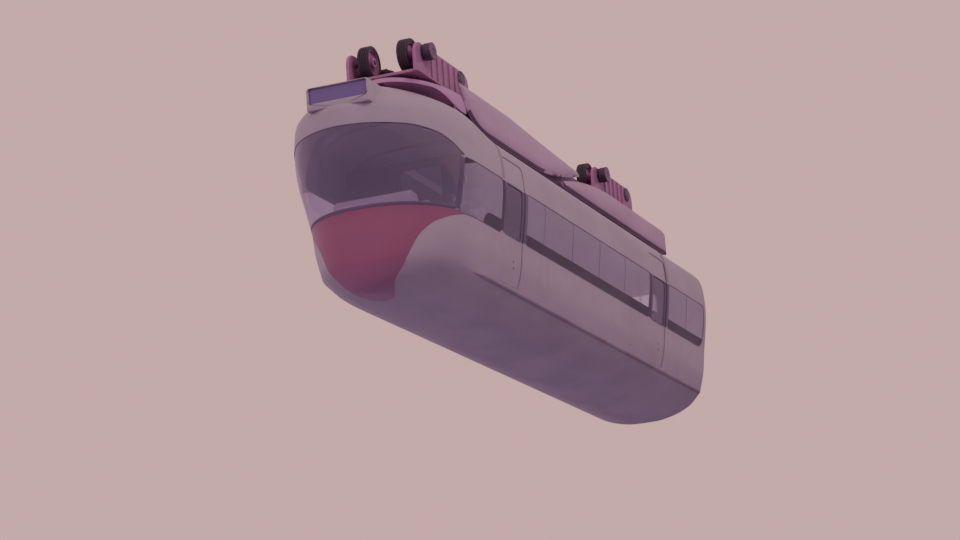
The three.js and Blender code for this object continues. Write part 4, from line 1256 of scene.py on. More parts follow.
# %% Roof joints and crease joint
ROOF_JOINTS = (3.52, -4.02)
JOINT_HEIGHTS = np.linspace(0.03, 0.72, 24)
JOINT_COVER = domed(0.120, -0.004, 0.004)
CREASE_COVER = domed(0.050, -0.006, 0.003)
CREASE_FRONT = 4.5
SINK, SINK_OVER = 0.010, 0.6  # it starts this deep in the skin, and rises over this length
joints = []
for x in ROOF_JOINTS:
    line = [from_side(x, z) for z in JOINT_HEIGHTS]
    joints.append(both_sides(strip(line, JOINT_COVER)))
piece("roof_joint_covers", joined(*joints), joint_grey, "car")
crease_run = np.linspace(from_side(CREASE_FRONT, CREASE)[0], G_END - 0.03, 150)
crease_line = [(g, B_CREASE + 0.004) for g in crease_run]
points, ups = smooth_path(crease_line)
sunk = SINK * (1 - smooth_step((points[0, 0] - points[:, 0]) / SINK_OVER))[:, None]
crease_joint = sweep(points - sunk * ups, ups, CREASE_COVER)
piece("crease_joint", both_sides(crease_joint), dark_joint, "car")
print("crease joint", round(crease_line[-1][0] - crease_line[0][0], 2), "m long on each side")

# %% [markdown]
# ## Door leaves
#
# Each leaf runs in a pocket behind the wall, so it lies a little deeper than the skin. It is a sheet with a
# hole for its pane. The opening's edge gets a seal that slopes down to the leaf and hides the pocket. It is
# pale on the wall and dark between the windows. Two small locks lie flush in the leaf.

# %% Leaves, their panes and seals
LEAF_DEPTH = 0.014  # the wall is only 8 mm thick where a leaf runs behind it
LEAF_THICK = 0.035
LEAF_OVERLAP = 0.03
LEAF_RADII = (0.008, 0.10)  # of its lower and its upper corners
LEAF_GLASS_DEPTH = 0.010
LEAF_GLASS = {"low": -0.76, "high": 0.0, "margin": 0.09, "radius": 0.05}
LEAF_RIM = domed(0.026, -0.012, 0.003)
BAND_PROUD, BAND_THICK = 0.0008, 0.0012  # the bands beside the pane, and the locks
LOCKS = [(0.33, -1.10), (0.30, -1.19)]  # distance from the doorway's rear edge, and height
LOCK_RADIUS = 0.02
PARTITION_X = 3.50


def lining_box(x0, x1, z0, z1, depth, thick):
    """A thin panel that follows the wall at a depth, between two lengths and two heights."""
    corners = [from_side(x, z) for x, z in ((x1, z0), (x0, z0), (x0, z1), (x1, z1))]
    return sheet(corners, thick, depth, spacing=0.12, chamfer=THIN_CHAMFER)


def rounded_box(x0, x1, z0, z1, low_radius, high_radius):
    """A rectangle with round corners as seen from the side, clockwise from its upper front."""
    r, s = high_radius, low_radius
    return (
        arc(x1 - r, z1 - r, r, 90, 0) + arc(x1 - s, z0 + s, s, 0, -90)
        + arc(x0 + s, z0 + s, s, -90, -180) + arc(x0 + r, z1 - r, r, 180, 90)
    )


for door in DOORS:
    x0 = door["from"] - LEAF_OVERLAP
    x1 = min(door["to"] + LEAF_OVERLAP, PARTITION_X - 0.01)
    blank = on_side(rounded_box(x0, x1, FLOOR_TOP + 0.01, DOOR_TOP + LEAF_OVERLAP, *LEAF_RADII))
    radius = LEAF_GLASS["radius"]
    glass_rear, glass_front = door["from"] + LEAF_GLASS["margin"], door["to"] - LEAF_GLASS["margin"]
    glass_edge = rounded_box(glass_rear, glass_front, LEAF_GLASS["low"], LEAF_GLASS["high"], radius, radius)
    light = on_side(glass_edge)
    leaf = sheet(blank, LEAF_THICK, LEAF_DEPTH, holes=[light])
    glazing = pane(light, LEAF_DEPTH + LEAF_GLASS_DEPTH)
    on_leaf, lean = smooth_path(light + light[:1])
    on_leaf = on_leaf - lean * LEAF_DEPTH
    rim = sweep(on_leaf[:-1], lean[:-1], LEAF_RIM, closed=True)
    bands = [
        lining_box(low_x, high_x, SILL + 0.002, -0.002, LEAF_DEPTH - BAND_PROUD, BAND_THICK)
        for low_x, high_x in ((x0 + 0.002, glass_rear), (glass_front, x1 - 0.002))
    ]
    for dx, z in LOCKS:
        lock = on_side(arc(door["from"] + dx, z, LOCK_RADIUS, 360, 0, 13)[:-1])
        bands.append(sheet(lock, BAND_THICK, LEAF_DEPTH - BAND_PROUD, chamfer=THIN_CHAMFER))
    for side, to_side in SIDES.items():
        owner = f"door_{door['name']}_{side}"
        piece(f"{owner}_panel", to_side(leaf), body_white, owner, [f"{owner}_leaf"])
        piece(f"{owner}_pane", to_side(glazing), door_glass, owner, [f"{owner}_glass"])
        piece(f"{owner}_rubber", to_side(rim), post_grey, owner)
        piece(f"{owner}_bands", to_side(joined(*bands)), post_grey, owner)
SEAL = [(-0.016, -0.0085), (-0.004, 0.0), (0.002, 0.0), (0.016, -0.0085)]
SEAL_WIDER, SEAL_PROUD = 1.06, 0.0008  # the dark seal lies over the pale one
PROUD_SEAL = [(a * SEAL_WIDER, u + SEAL_PROUD) for a, u in SEAL]
seals, dark_seals = [], []
for door in DOORS:
    ring = [(door["to"], DOOR_FOOT)] + roof_door(door) + [(door["from"], DOOR_FOOT)]
    seals.append(both_sides(strip(on_side(ring), SEAL)))
    for side_ring in ([(door["to"], SILL), (door["to"], 0.0)], [(door["from"], 0.0), (door["from"], SILL)]):
        dark_seals.append(both_sides(strip(on_side(side_ring), PROUD_SEAL)))
piece("door_seals", joined(*seals), body_white, "car")
piece("door_band_seals", joined(*dark_seals), post_grey, "car")
print("door leaves:", 2 * len(DOORS))

# %% [markdown]
# ## Route sign
#
# The sign box sits on the brow over the windscreen. Its sides run back until they meet the curved roof.
# The blue panel lies in a shallow recess with a lip below it, and it is blank.

# %% Sign box and panel
SIGN_FACE = 6.33
SIGN = {"half": 0.475, "low": 0.59, "high": 0.93, "low_radius": 0.02, "radius": 0.05}
SIGN_PANEL = {"half": 0.44, "low": 0.69, "high": 0.908, "radius": 0.015, "recess": 0.04}


def rounded_ring(a0, a1, b0, b1, low_radius, high_radius, steps=6):
    """A rectangle with round corners, counter-clockwise from its lower right."""
    r, s = high_radius, low_radius
    return np.array(
        arc(a1 - s, b0 + s, s, -90, 0, steps) + arc(a1 - r, b1 - r, r, 0, 90, steps)
        + arc(a0 + r, b1 - r, r, 90, 180, steps) + arc(a0 + s, b0 + s, s, 180, 270, steps)
    )


def front_box(half, *heights_and_radii):
    """A rounded rectangle as seen from the front, centred on the car."""
    return rounded_ring(-half, half, *heights_and_radii)


def roof_x(y, z):
    """How far forward the roof reaches at a place seen from the front."""
    return float(skin([from_front(abs(y), z)])[0][0][0])


def ring_at(outline, x, shrink=0.0):
    """An outline drawn at x, pulled in towards its middle line by a distance."""
    drawn = inset(np.asarray(outline), shrink)
    xs = np.full(len(drawn), float(x)) if np.isscalar(x) else np.asarray(x)
    return np.stack([xs, drawn[:, 0], WINDOW_TOP + drawn[:, 1]], 1)


def bridged(rings):
    """Rings of equal count joined by quads, from first to last."""
    count = len(rings[0])
    faces = []
    for k in range(len(rings) - 1):
        for i in range(count):
            m = (i + 1) % count
            faces.append((k * count + i, k * count + m, (k + 1) * count + m, (k + 1) * count + i))
    return np.concatenate(rings), faces, [None] * len(faces)


def capped(rings):
    """Rings joined by quads and closed at both ends."""
    count = len(rings[0])
    points, faces, _ = bridged(rings)
    faces.append(tuple(reversed(range(count))))
    faces.append(tuple(range(len(points) - count, len(points))))
    return points, faces, [None] * len(faces)


FRONT_SOFT, MOUTH_SOFT = 0.012, 0.004  # rounding of the box's front edge, and of the recess's edge
# the panel's rings: distance ahead of the recess's floor, and gap to the recess's side
PANEL_RINGS = [(0.0, 0.002), (0.012, 0.002), (0.015, 0.006)]
box = front_box(SIGN["half"], SIGN["low"], SIGN["high"], SIGN["low_radius"], SIGN["radius"])
box_edge = resample(box, 0.05)
radius = SIGN_PANEL["radius"]
mouth = front_box(SIGN_PANEL["half"], SIGN_PANEL["low"], SIGN_PANEL["high"], radius, radius)
towards = np.array([mouth[np.argmin(np.linalg.norm(mouth - p, axis=1))] for p in box_edge])
roots = [min(roof_x(y, z), SIGN_FACE - 0.02) - 0.015 for y, z in box_edge]
panel_x = SIGN_FACE - SIGN_PANEL["recess"]
sign_box = bridged([
    ring_at(box_edge, roots),
    ring_at(box_edge, SIGN_FACE - FRONT_SOFT),
    ring_at(box_edge, SIGN_FACE - MOUTH_SOFT, MOUTH_SOFT),
    ring_at(box_edge, SIGN_FACE, FRONT_SOFT),
    ring_at(towards, SIGN_FACE, -MOUTH_SOFT),
    ring_at(towards, SIGN_FACE - MOUTH_SOFT),
    ring_at(towards, panel_x - 0.01),
])
piece("sign_box", sign_box, body_white, "car", ["sign_housing"])
glazed = resample(mouth, 0.04)
sign_plate = capped([ring_at(glazed, panel_x + ahead, gap) for ahead, gap in PANEL_RINGS])
piece("sign_plate", sign_plate, sign_blue, "car", ["sign_panel"])
print("sign box sides reach back to x", round(min(roots), 2))

# %% [markdown]
# ## Fairings
#
# The long pink fairings are pressed sheets: full in the middle, turned in all round. Such a pillow is a
# flat outline whose height grows with the distance from its edge, like a quarter circle. The front pair is
# a lens that tapers to both ends, the rear pair starts in a point and ends square. A dark edging strip
# follows their lower edge; it is painted shade, the shadow gap between the fairing and the roof.

# %% Fairing outlines
FAIRING_Y = 0.72
FAIRING_LOW = 1.00
front_lens = [(3.62, 1.57)] + bezier((3.62, 1.57), (3.34, 1.03), (2.64, FAIRING_LOW)) + [(0.60, FAIRING_LOW)]
front_lens += bezier((0.60, FAIRING_LOW), (-0.25, 1.03), (-1.48, 1.37))
front_lens += bezier((-1.48, 1.37), (-1.56, 1.41), (-1.40, 1.44), 4)
front_lens += bezier((-1.40, 1.44), (0.40, 1.50), (1.60, 1.57))
rear_lens = [(-0.56, 1.07), (-0.70, FAIRING_LOW), (-5.90, FAIRING_LOW), (-5.90, 1.35)]
rear_lens += bezier((-5.90, 1.35), (-5.88, 1.43), (-5.70, 1.43), 5) + [(-3.00, 1.43)]
rear_lens += bezier((-3.00, 1.43), (-1.70, 1.40), (-0.56, 1.07), 16)


def pillow(outline, base, bulge, reach):
    """A surface over an outline in (-x, z) that swells out to the left, fullest away from its edge."""
    outline = np.asarray(outline, float)

    def height(flat):
        t = np.clip(edge_distance(outline, flat) / reach, 0, 1)
        return base + bulge * np.sqrt(1 - (1 - t) ** 2)

    def surface(flat, depth=0.0):
        flat = np.asarray(flat, float).reshape(-1, 2)
        step = 0.012
        du = (height(flat + (step, 0)) - height(flat - (step, 0))) / (2 * step)
        dz = (height(flat + (0, step)) - height(flat - (0, step))) / (2 * step)
        normal = np.stack([du, np.ones(len(flat)), -dz], 1)
        normal /= np.linalg.norm(normal, axis=1, keepdims=True)
        points = np.stack([-flat[:, 0], height(flat), WINDOW_TOP + flat[:, 1]], 1)
        return points - np.array([0, depth, 0]) * np.ones((len(flat), 1)), normal

    return surface


# %% Fairing panels and closing plates
# each outline, and which of its points the dark edging, a painted shadow, follows
FAIRINGS = {"front": (front_lens, slice(6, 19)), "rear": (rear_lens, slice(0, 3))}
BULGE, REACH, EDGING = 0.06, 0.20, 0.05
FAIRING_THICK = 0.012
edgings = []
for end, (lens, edged) in FAIRINGS.items():
    outline = np.array([(-x, z) for x, z in lens])
    surface = pillow(outline, FAIRING_Y, BULGE, REACH)
    panel = sheet(outline, FAIRING_THICK, spacing=0.04, chamfer=0.002, surface=surface)
    for side, to_side in SIDES.items():
        name = f"fairing_{end}_{side}"
        piece(f"{name}_panel", to_side(panel), fairing_pink, "car", [name])
    run = inset(outline, EDGING / 2)[edged]
    points, ups = surface(resample(run, 0.05, closed=False))
    edgings.append(both_sides(sweep(points, ups, domed(EDGING, -0.006, 0.002))))
    print(end, "fairing:", len(panel[1]), "faces")
# the edging's dark colour is painted shade
piece("fairing_edging", joined(*edgings), fairing_shadow_edging, "car")

# %% [markdown]
# ## Plain solids
#
# Everything else is made of bevelled blocks, flat plates with chamfered edges, turned parts and rods. A
# real edge is never perfectly sharp, and the thin bright line along a bevel is what makes a block of steel
# look like steel.

# %% Blocks, plates, turned parts and rods
def block(x0, x1, y0, y1, z0, z1, bevel=0.004, segments=1):
    """A box with bevelled edges."""
    bm = bmesh.new()
    bmesh.ops.create_cube(bm, size=1.0)
    size = Vector((x1 - x0, y1 - y0, z1 - z0))
    middle = Vector((x0 + x1, y0 + y1, z0 + z1)) / 2
    for vertex in bm.verts:
        vertex.co = middle + vertex.co * size
    bmesh.ops.bevel(bm, geom=bm.edges[:], offset=bevel, segments=segments, profile=0.5, affect="EDGES")
    bm.verts.index_update()
    points = np.array([tuple(v.co) for v in bm.verts])
    faces = [tuple(v.index for v in f.verts) for f in bm.faces]
    bm.free()
    return points, faces, [None] * len(faces)


def plane(axis, at):
    """A flat surface whose front faces along +axis, for sheets."""

    def surface(flat, depth=0.0):
        u, v = np.asarray(flat, float).reshape(-1, 2).T
        across = at - np.asarray(depth) * np.ones(len(u))
        points = {"x": (across, u, v), "y": (-u, across, v), "z": (u, v, across)}[axis]
        normal = np.zeros((len(u), 3))
        normal[:, "xyz".index(axis)] = 1.0
        return np.stack(points, 1), normal

    return surface


def plate(axis, outline, at, thickness, holes=(), chamfer=0.003):
    """A flat plate. Outlines are (y, z) for x, (x, z) for y and (x, y) for z."""
    turn = np.array([-1, 1]) if axis == "y" else np.array([1, 1])
    flat = [np.asarray(ring, float) * turn for ring in (outline, *holes)]
    return sheet(flat[0], thickness, holes=flat[1:], spacing=2.0, chamfer=chamfer, surface=plane(axis, at))


def turned(profile, axis, centre, segments=32, closed=False):
    """A shape turned about an axis from (radius, along) points. A closed profile makes a ring."""
    k = "xyz".index(axis)
    angles = np.linspace(0, 2 * math.pi, segments, endpoint=False)
    rings = []
    for radius, along in list(profile) + ([profile[0]] if closed else []):
        ring = np.zeros((segments, 3))
        ring[:, (k + 1) % 3] = radius * np.cos(angles)
        ring[:, (k + 2) % 3] = radius * np.sin(angles)
        ring[:, k] = along
        rings.append(ring + np.asarray(centre))
    if not closed:
        return capped(rings)
    points, faces, _ = bridged(rings[:-1])
    last = (len(rings) - 2) * segments
    faces += [(last + i, last + (i + 1) % segments, (i + 1) % segments, i) for i in range(segments)]
    return points, faces, [None] * len(faces)


def disc(axis, centre, radius, low, high, bevel=0.003, segments=24):
    """A short cylinder with bevelled rims, from low to high along the axis."""
    profile = [(radius - bevel, low), (radius, low + bevel), (radius, high - bevel), (radius - bevel, high)]
    return turned(profile, axis, centre, segments)


def rod(start, end, radius, segments=10):
    """A round bar between two points."""
    start, end = np.asarray(start, float), np.asarray(end, float)
    run = end - start
    upright = abs(run[2]) >= 0.9 * np.linalg.norm(run)
    up = np.array([1.0, 0, 0]) if upright else np.array([0, 0, 1.0])
    angles = np.linspace(0, -2 * math.pi, segments, endpoint=False)
    section = [(radius * math.cos(t), radius * math.sin(t)) for t in angles]
    return sweep([start, end], [up, up], section)


def bolts(axis, places, radius, low, high):
    """Hexagon heads at several places."""
    return [disc(axis, place, radius, low, high, radius * 0.15, 6) for place in places]


print("a bevelled block has", len(block(0, 1, 0, 1, 0, 1)[1]), "faces")

# %% [markdown]
# ## Shroud and roof spine
#
# Under the front bogie a dark red band closes the hanger. It is one rolled sheet whose lower edge rises
# towards the front, and a thin pan closes it from below. Both are given a lighter red than the bogies,
# which is painted light against the shade they lie in. The spine under the fairings is the CAD weldment,
# which only needs softened edges and a dark colour that is painted shade, the shadow under the fairings. A
# thin plate on each side closes the gap between it and the fairing, and its dark colour paints the shadow
# line seen from below. Its front edge follows the band, and two small upright fillers close what stays open
# beside the band's rear end. They carry the same painted shade.

# %% Shroud band and spine
SHROUD = {"half": 0.7197, "side": 3.35, "straight": 3.45, "tip": 4.88, "low": 1.14, "high": 1.40,
          "rise": 0.19, "rise_from": 3.5, "rise_to": 4.3}
turn = np.linspace(0, math.pi, 61)
reach_x = SHROUD["tip"] - SHROUD["straight"]
shroud_path = [(SHROUD["side"], SHROUD["half"])]
shroud_path += [
    (SHROUD["straight"] + reach_x * math.sin(t), SHROUD["half"] * math.cos(t)) for t in turn
]
shroud_path += [(SHROUD["side"], -SHROUD["half"])]
low, high = WINDOW_TOP + SHROUD["low"], WINDOW_TOP + SHROUD["high"]
# distance inwards from the band's outer face, and height
shroud_section = [
    (0.020, low + 0.004), (0.012, low), (0.004, low + 0.004), (0.0, low + 0.014), (0.0, high - 0.030),
    (0.006, high - 0.010), (0.020, high), (0.045, high), (0.045, high - 0.010), (0.022, high - 0.012),
    (0.012, high - 0.030), (0.012, low + 0.016),
]
path = np.array([(x, y, 0.0) for x, y in shroud_path])
band, band_faces, band_normals = sweep(path, np.tile([0, 0, 1.0], (len(path), 1)), shroud_section)


def shroud_lift(x):
    """How much higher the band's lower edge is at x than at its rear end."""
    return SHROUD["rise"] * smooth_step((x - SHROUD["rise_from"]) / (SHROUD["rise_to"] - SHROUD["rise_from"]))


band[:, 2] = high - (high - band[:, 2]) * (high - low - shroud_lift(band[:, 0])) / (high - low)
# the band and its pan take the lightened red: painted light
piece("shroud_band", (band, band_faces, band_normals), shroud_lightened_red, "car", ["fairing_nose"])
PAN = {"points": 30, "behind": 0.012, "inside": 0.014, "above": 0.018, "thick": 0.004}
pan_rings = []
for path_x, path_y in shroud_path[:PAN["points"]]:
    x, y = path_x - PAN["behind"], path_y - PAN["inside"]
    foot = low + shroud_lift(path_x) + PAN["above"]
    top = foot + PAN["thick"]
    pan_rings.append(np.array([(x, y, foot), (x, -y, foot), (x, -y, top), (x, y, top)]))
piece("shroud_pan", capped(pan_rings), shroud_lightened_red, "car")
REAR_STAY, FRONT_STAY = (3.40, 3.46), (4.60, 4.66)
FRONT_STAY_HALF = 0.03
stays = [block(*REAR_STAY, *sorted((sign * 0.52, sign * 0.714)), low, low + 0.03) for sign in (-1, 1)]
stays.append(block(*FRONT_STAY, -FRONT_STAY_HALF, FRONT_STAY_HALF, low, high - 0.03))
stays.append(block(FRONT_STAY[0], 4.865, -FRONT_STAY_HALF, FRONT_STAY_HALF, high - 0.06, high - 0.03))
piece("shroud_stays", joined(*stays), dark_steel, "car")


def dress(node, material, bevel=0.004):
    """Gives a CAD node that stays in view its finish, and softens its edges."""
    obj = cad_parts[node]
    obj.data.materials.clear()
    obj.data.materials.append(material)
    if bevel:
        edges = obj.modifiers.new("soft_edges", "BEVEL")
        edges.width = bevel
        edges.limit_method = "ANGLE"
        edges.angle_limit = math.radians(50)
        edges.harden_normals = True
    return obj


# the spine and the closing plates below are dark with painted shade
dress("roof_spine", under_fairing_shade, 0.005)
DECK_HALF = 0.582
CLOSING_Z = WINDOW_TOP + 1.006
CLOSING_FRONT = 4.2
CLOSING_REAR = REAR_X + 0.30
CLOSING_GAP = 0.012  # between the plate and the fairing or the band
FILLER_Y = (0.686, 0.694)
closing_edge = [
    (x, SHROUD["half"] * math.sqrt(1 - ((x - SHROUD["straight"]) / reach_x) ** 2) - CLOSING_GAP)
    for x in np.linspace(CLOSING_FRONT, SHROUD["straight"], 9)
]
closing_outline = [(CLOSING_REAR, DECK_HALF), (CLOSING_FRONT, DECK_HALF)] + closing_edge
closing_outline.append((CLOSING_REAR, FAIRING_Y - CLOSING_GAP))
closing = plate("z", closing_outline, CLOSING_Z, 0.006, chamfer=0.001)
gusset = block(2.95, 3.76, *FILLER_Y, CLOSING_Z, CLOSING_Z + 0.18)
end_filler = block(3.08, 3.42, *FILLER_Y, CLOSING_Z + 0.10, CLOSING_Z + 0.36)
piece("closing_plates", both_sides(joined(closing, gusset, end_filler)), under_fairing_shade, "car")
print("shroud band:", len(band_faces), "faces")

# %% [markdown]
# ## Bogies
#
# Each bogie is a pair of cheek plates joined by a bottom plate. The cheeks carry the axle boxes, with
# bolted covers outside, and the arms for the guide wheels. Frame and cheeks are painted dark red, and the
# covers and the kingpin are bare steel. A ribbed motor sits outside the front axle. It is a turned profile.

# %% Bogie frames and motors
FRAME = {"half": 1.00, "face": 0.55, "cheek": 0.05, "low": -0.10, "high": 0.38, "plate": 0.045,
         "foot_radius": 0.02, "corner": 0.20}
WHEEL = {"axis": "y", "radius": 0.25, "half": 0.09, "y": 0.31, "dx": 0.70, "z": 0.25, "rim": 0.188,
         "bore": 0.034, "grooves": (-0.036, 0.0, 0.036), "nuts": 8}
GUIDE = {"axis": "z", "radius": 0.13, "half": 0.055, "y": 0.235, "dx": 0.27, "z": 0.17, "rim": 0.092,
         "bore": 0.024, "grooves": (0.0,), "nuts": 5}
BOGIES = {"front": 3.75, "rear": -3.75}
BOLT = 0.011
FLANGE_HALF = 0.94
RIBS = (-0.44, -0.22, 0.0, 0.22, 0.44)
ARM = {"half": 0.06, "thick": 0.025, "past_pin": 0.045}
ARM_TOP = GUIDE["z"] + GUIDE["half"] + 0.035
# an axle box cover's section: radius, and distance out from the cheek
AXLE_COVER = [(0.118, -0.002), (0.120, 0.006), (0.120, 0.016), (0.112, 0.022),
              (0.070, 0.022), (0.064, 0.028), (0.030, 0.030), (0.001, 0.030)]
COVER_CIRCLE = 0.096


def bogie_side(x):
    """One cheek with its flange, ribs and guide arms, on the left."""
    half, face, low, high = FRAME["half"], FRAME["face"], FRAME["low"], FRAME["high"]
    edge = rounded_box(x - half, x + half, low, high, FRAME["foot_radius"], FRAME["corner"])
    made = [plate("y", edge, face, FRAME["cheek"], chamfer=0.006)]
    made.append(block(x - FLANGE_HALF, x + FLANGE_HALF, face, face + 0.018, low + 0.004, low + 0.034))
    for at in [x + dx for dx in RIBS]:
        made.append(block(at - 0.007, at + 0.007, face, face + 0.022, low + 0.03, high - 0.03, 0.002))
    inner, outer = GUIDE["y"] - ARM["past_pin"], face - FRAME["cheek"] + 0.005
    for at in (x - GUIDE["dx"], x + GUIDE["dx"]):
        made.append(block(at - ARM["half"], at + ARM["half"], inner, outer, ARM_TOP - ARM["thick"], ARM_TOP))
    return joined(*made)


def bogie_bearings(x):
    """Axle box covers, stub axles and guide pins of one side, with their bolts."""
    face = FRAME["face"]
    made = []
    for dx in (-WHEEL["dx"], WHEEL["dx"]):
        at = (x + dx, 0, WHEEL["z"])
        made.append(turned([(radius, face + out) for radius, out in AXLE_COVER], "y", at, 40))
        ring = [(x + dx + COVER_CIRCLE * math.cos(t), 0, WHEEL["z"] + COVER_CIRCLE * math.sin(t))
                for t in np.arange(8) * math.pi / 4 + 0.2]
        made += bolts("y", ring, BOLT, face + 0.021, face + 0.030)
        made.append(disc("y", at, 0.030, WHEEL["y"] - WHEEL["half"] - 0.014, face - FRAME["cheek"] + 0.002))
    for dx in (-GUIDE["dx"], GUIDE["dx"]):
        at = (x + dx, GUIDE["y"], 0)
        made.append(disc("z", at, 0.020, GUIDE["z"] - GUIDE["half"] - 0.014, ARM_TOP + 0.001, segments=20))
        made.append(disc("z", at, 0.032, ARM_TOP, ARM_TOP + 0.014, segments=6))
    return joined(*made)


print("guide arms' top at", round(ARM_TOP, 3), "m")


# %% Kingpin, motor and the two bogies
# the kingpin, its foot and its collar: radius, from, to, bevel, segments
KINGPIN = [(0.045, -0.24, -0.09, 0.003, 32), (0.095, -0.265, -0.235, 0.005, 40),
           (0.11, FRAME["low"] - 0.025, FRAME["low"] + 0.001, 0.006, 40)]
STUD_CIRCLE, STUD = 0.078, 0.009
# the motor's section: radius, and distance out from its foot or from its end
MOTOR_FOOT, MOTOR_END = 0.5803, 0.7103
MOTOR_RIB = [(0.128, 0.012), (0.128, 0.018), (0.116, 0.019), (0.116, 0.024)]
RIB_COUNT, RIB_STEP = 7, 0.013
MOTOR_CAP = [(0.126, -0.022), (0.130, -0.018), (0.130, -0.006), (0.122, 0.0), (0.040, 0.0),
             (0.036, -0.006), (0.001, -0.006)]
motor = [(0.108, MOTOR_FOOT)]
motor += [(radius, MOTOR_FOOT + out + k * RIB_STEP) for k in range(RIB_COUNT) for radius, out in MOTOR_RIB]
motor += [(radius, MOTOR_END + out) for radius, out in MOTOR_CAP]


for name, x in BOGIES.items():
    owner = f"bogie_{name}"
    low = FRAME["low"]
    rear, front = x - FRAME["half"] + 0.02, x + FRAME["half"] - 0.02
    bottom_edge = rounded_ring(rear, front, -0.50, 0.50, 0.02, 0.02, 4)
    bottom = plate("z", bottom_edge, low + FRAME["plate"], FRAME["plate"], chamfer=0.005)
    head_places = [(x + dx, y, 0) for dx in np.linspace(-0.9, 0.9, 10) for y in (-0.47, 0.47)]
    heads = bolts("z", head_places, BOLT, low - 0.010, low + 0.001)
    base = joined(both_sides(bogie_side(x)), bottom, *heads)
    piece(f"{owner}_weldment", base, oxide_paint, owner, [f"{owner}_frame"])
    kingpin = [disc("z", (x, 0, 0), *row) for row in KINGPIN]
    turns = np.arange(8) * math.pi / 4
    stud_places = [(x + STUD_CIRCLE * math.cos(t), STUD_CIRCLE * math.sin(t), 0) for t in turns]
    studs = bolts("z", stud_places, STUD, -0.273, -0.264)
    steel_parts = joined(both_sides(bogie_bearings(x)), *kingpin, *studs)
    piece(f"{owner}_bearings", steel_parts, bare_steel, owner)
    drive = turned(motor, "y", (x + WHEEL["dx"], 0, WHEEL["z"]), 48)
    piece(f"{owner}_drive", drive, dark_steel, owner, [f"{owner}_motor"])
print("bogie frame:", len(base[1]), "faces, bearings:", len(steel_parts[1]))

# %% [markdown]
# ### Wheels
#
# A solid rubber tyre with three grooves sits on a dished steel disc. Both are turned profiles. The ring of
# nuts is placed by angle. The guide wheels lie flat and are built the same way, smaller and with one groove.

# %% Running wheels and guide wheels
TREAD_GROOVE = [(0.0, -0.006), (0.007, -0.004), (0.007, 0.004), (0.0, 0.006)]  # depth, and place across


def tyre_profile(radius, half, rim, grooves):
    """A tyre's section as a closed ring of (radius, along) points."""
    shoulder = [(rim, -half * 0.80), (rim + 0.010, -half * 0.93), (radius - 0.022, -half * 0.97),
                (radius - 0.009, -half * 0.93), (radius - 0.002, -half * 0.84), (radius, -half * 0.74)]
    tread = [(radius - depth, middle + across) for middle in grooves for depth, across in TREAD_GROOVE]
    return shoulder + tread + [(r, -w) for r, w in reversed(shoulder)]


def wheel_disc(rim, half, bore, web):
    """A dished disc with hub and rim, closed."""
    face = [(rim, half * 0.80), (rim - 0.008, half * 0.80), (rim - 0.016, web + 0.004), (rim - 0.022, web),
            (bore + 0.060, web), (bore + 0.050, web + 0.006), (bore + 0.044, half - 0.004),
            (bore + 0.040, half), (bore, half)]
    return face + [(r, -w) for r, w in reversed(face)]


def turning_wheel(size, centre, nut_side):
    """A wheel's tyre, and its disc with the nuts on one side."""
    axis, rim, bore, half = size["axis"], size["rim"], size["bore"], size["half"]
    tyre_section = tyre_profile(size["radius"], half, rim, size["grooves"])
    tyre = turned(tyre_section, axis, centre, 64, closed=True)
    web = half * 0.35
    core = [turned(wheel_disc(rim, half, bore, web), axis, centre, 48, closed=True)]
    low, high = sorted((nut_side * (web - 0.001), nut_side * (web + 0.010)))
    nut_circle = (rim + bore) / 2 + 0.018
    k = "xyz".index(axis)
    for t in np.arange(size["nuts"]) * 2 * math.pi / size["nuts"]:
        spot = np.array(centre, float)
        spot[(k + 1) % 3] += nut_circle * math.cos(t)
        spot[(k + 2) % 3] += nut_circle * math.sin(t)
        core.append(disc(axis, spot, 0.009, low, high, 0.0015, 6))
    return tyre, joined(*core)


for name, x in BOGIES.items():
    for end, way in (("front", 1), ("back", -1)):
        for side, sign in (("left", 1), ("right", -1)):
            for kind, size, nut_side in (("wheel", WHEEL, -sign), ("guide", GUIDE, -1)):
                owner = f"bogie_{name}_{kind}_{end}_{side}"
                centre = (x + way * size["dx"], sign * size["y"], size["z"])
                tyre, core = turning_wheel(size, centre, nut_side)
                piece(f"{owner}_tyre", tyre, tyre_rubber, owner, [owner])
                piece(f"{owner}_disc", core, oxide_paint, owner)
print("guide wheel:", len(tyre[1]) + len(core[1]), "faces")

# %% [markdown]
# ## Rear end
#
# The end wall closes the tube behind. A rubber bellows frames the passage, and below it two lugs hold the
# pin of the half drawbar.

# %% End wall, bellows and drawbar
PASSAGE = {"half": 0.40, "high": 0.42, "low_radius": 0.06, "high_radius": 0.12}
section = skin([(G_END, b) for b in np.linspace(0, GIRTH, 90)])[0][:, 1:]
ring = np.concatenate([section, section[-2:0:-1] * (-1, 1)])
hole = front_box(PASSAGE["half"], FLOOR_TOP, PASSAGE["high"], PASSAGE["low_radius"], PASSAGE["high_radius"])
hole[:, 1] += WINDOW_TOP
wall_inset = inset(ring, WALL + 0.0005)
back_wall = plate("x", wall_inset, REAR_X + 0.028, 0.028, holes=[hole])
piece("back_wall", back_wall, body_white, "car", ["end_wall"])
BAR_Z, PIN_X = WINDOW_TOP - 1.70, REAR_X - 0.10
lugs = [
    block(PIN_X - 0.05, REAR_X + 0.004, -0.08, 0.08, z - 0.015, z + 0.015)
    for z in (BAR_Z - 0.065, BAR_Z + 0.065)
]
pad = block(REAR_X - 0.025, REAR_X + 0.006, -0.17, 0.17, BAR_Z - 0.12, BAR_Z + 0.12)
pad_places = [(0, y, BAR_Z + z) for y in (-0.145, 0.145) for z in (-0.09, 0.0, 0.09)]
pad_bolts = bolts("x", pad_places, 0.014, REAR_X - 0.037, REAR_X - 0.024)
piece("drawbar_lugs", joined(*lugs, pad, *pad_bolts), dark_steel, "car")
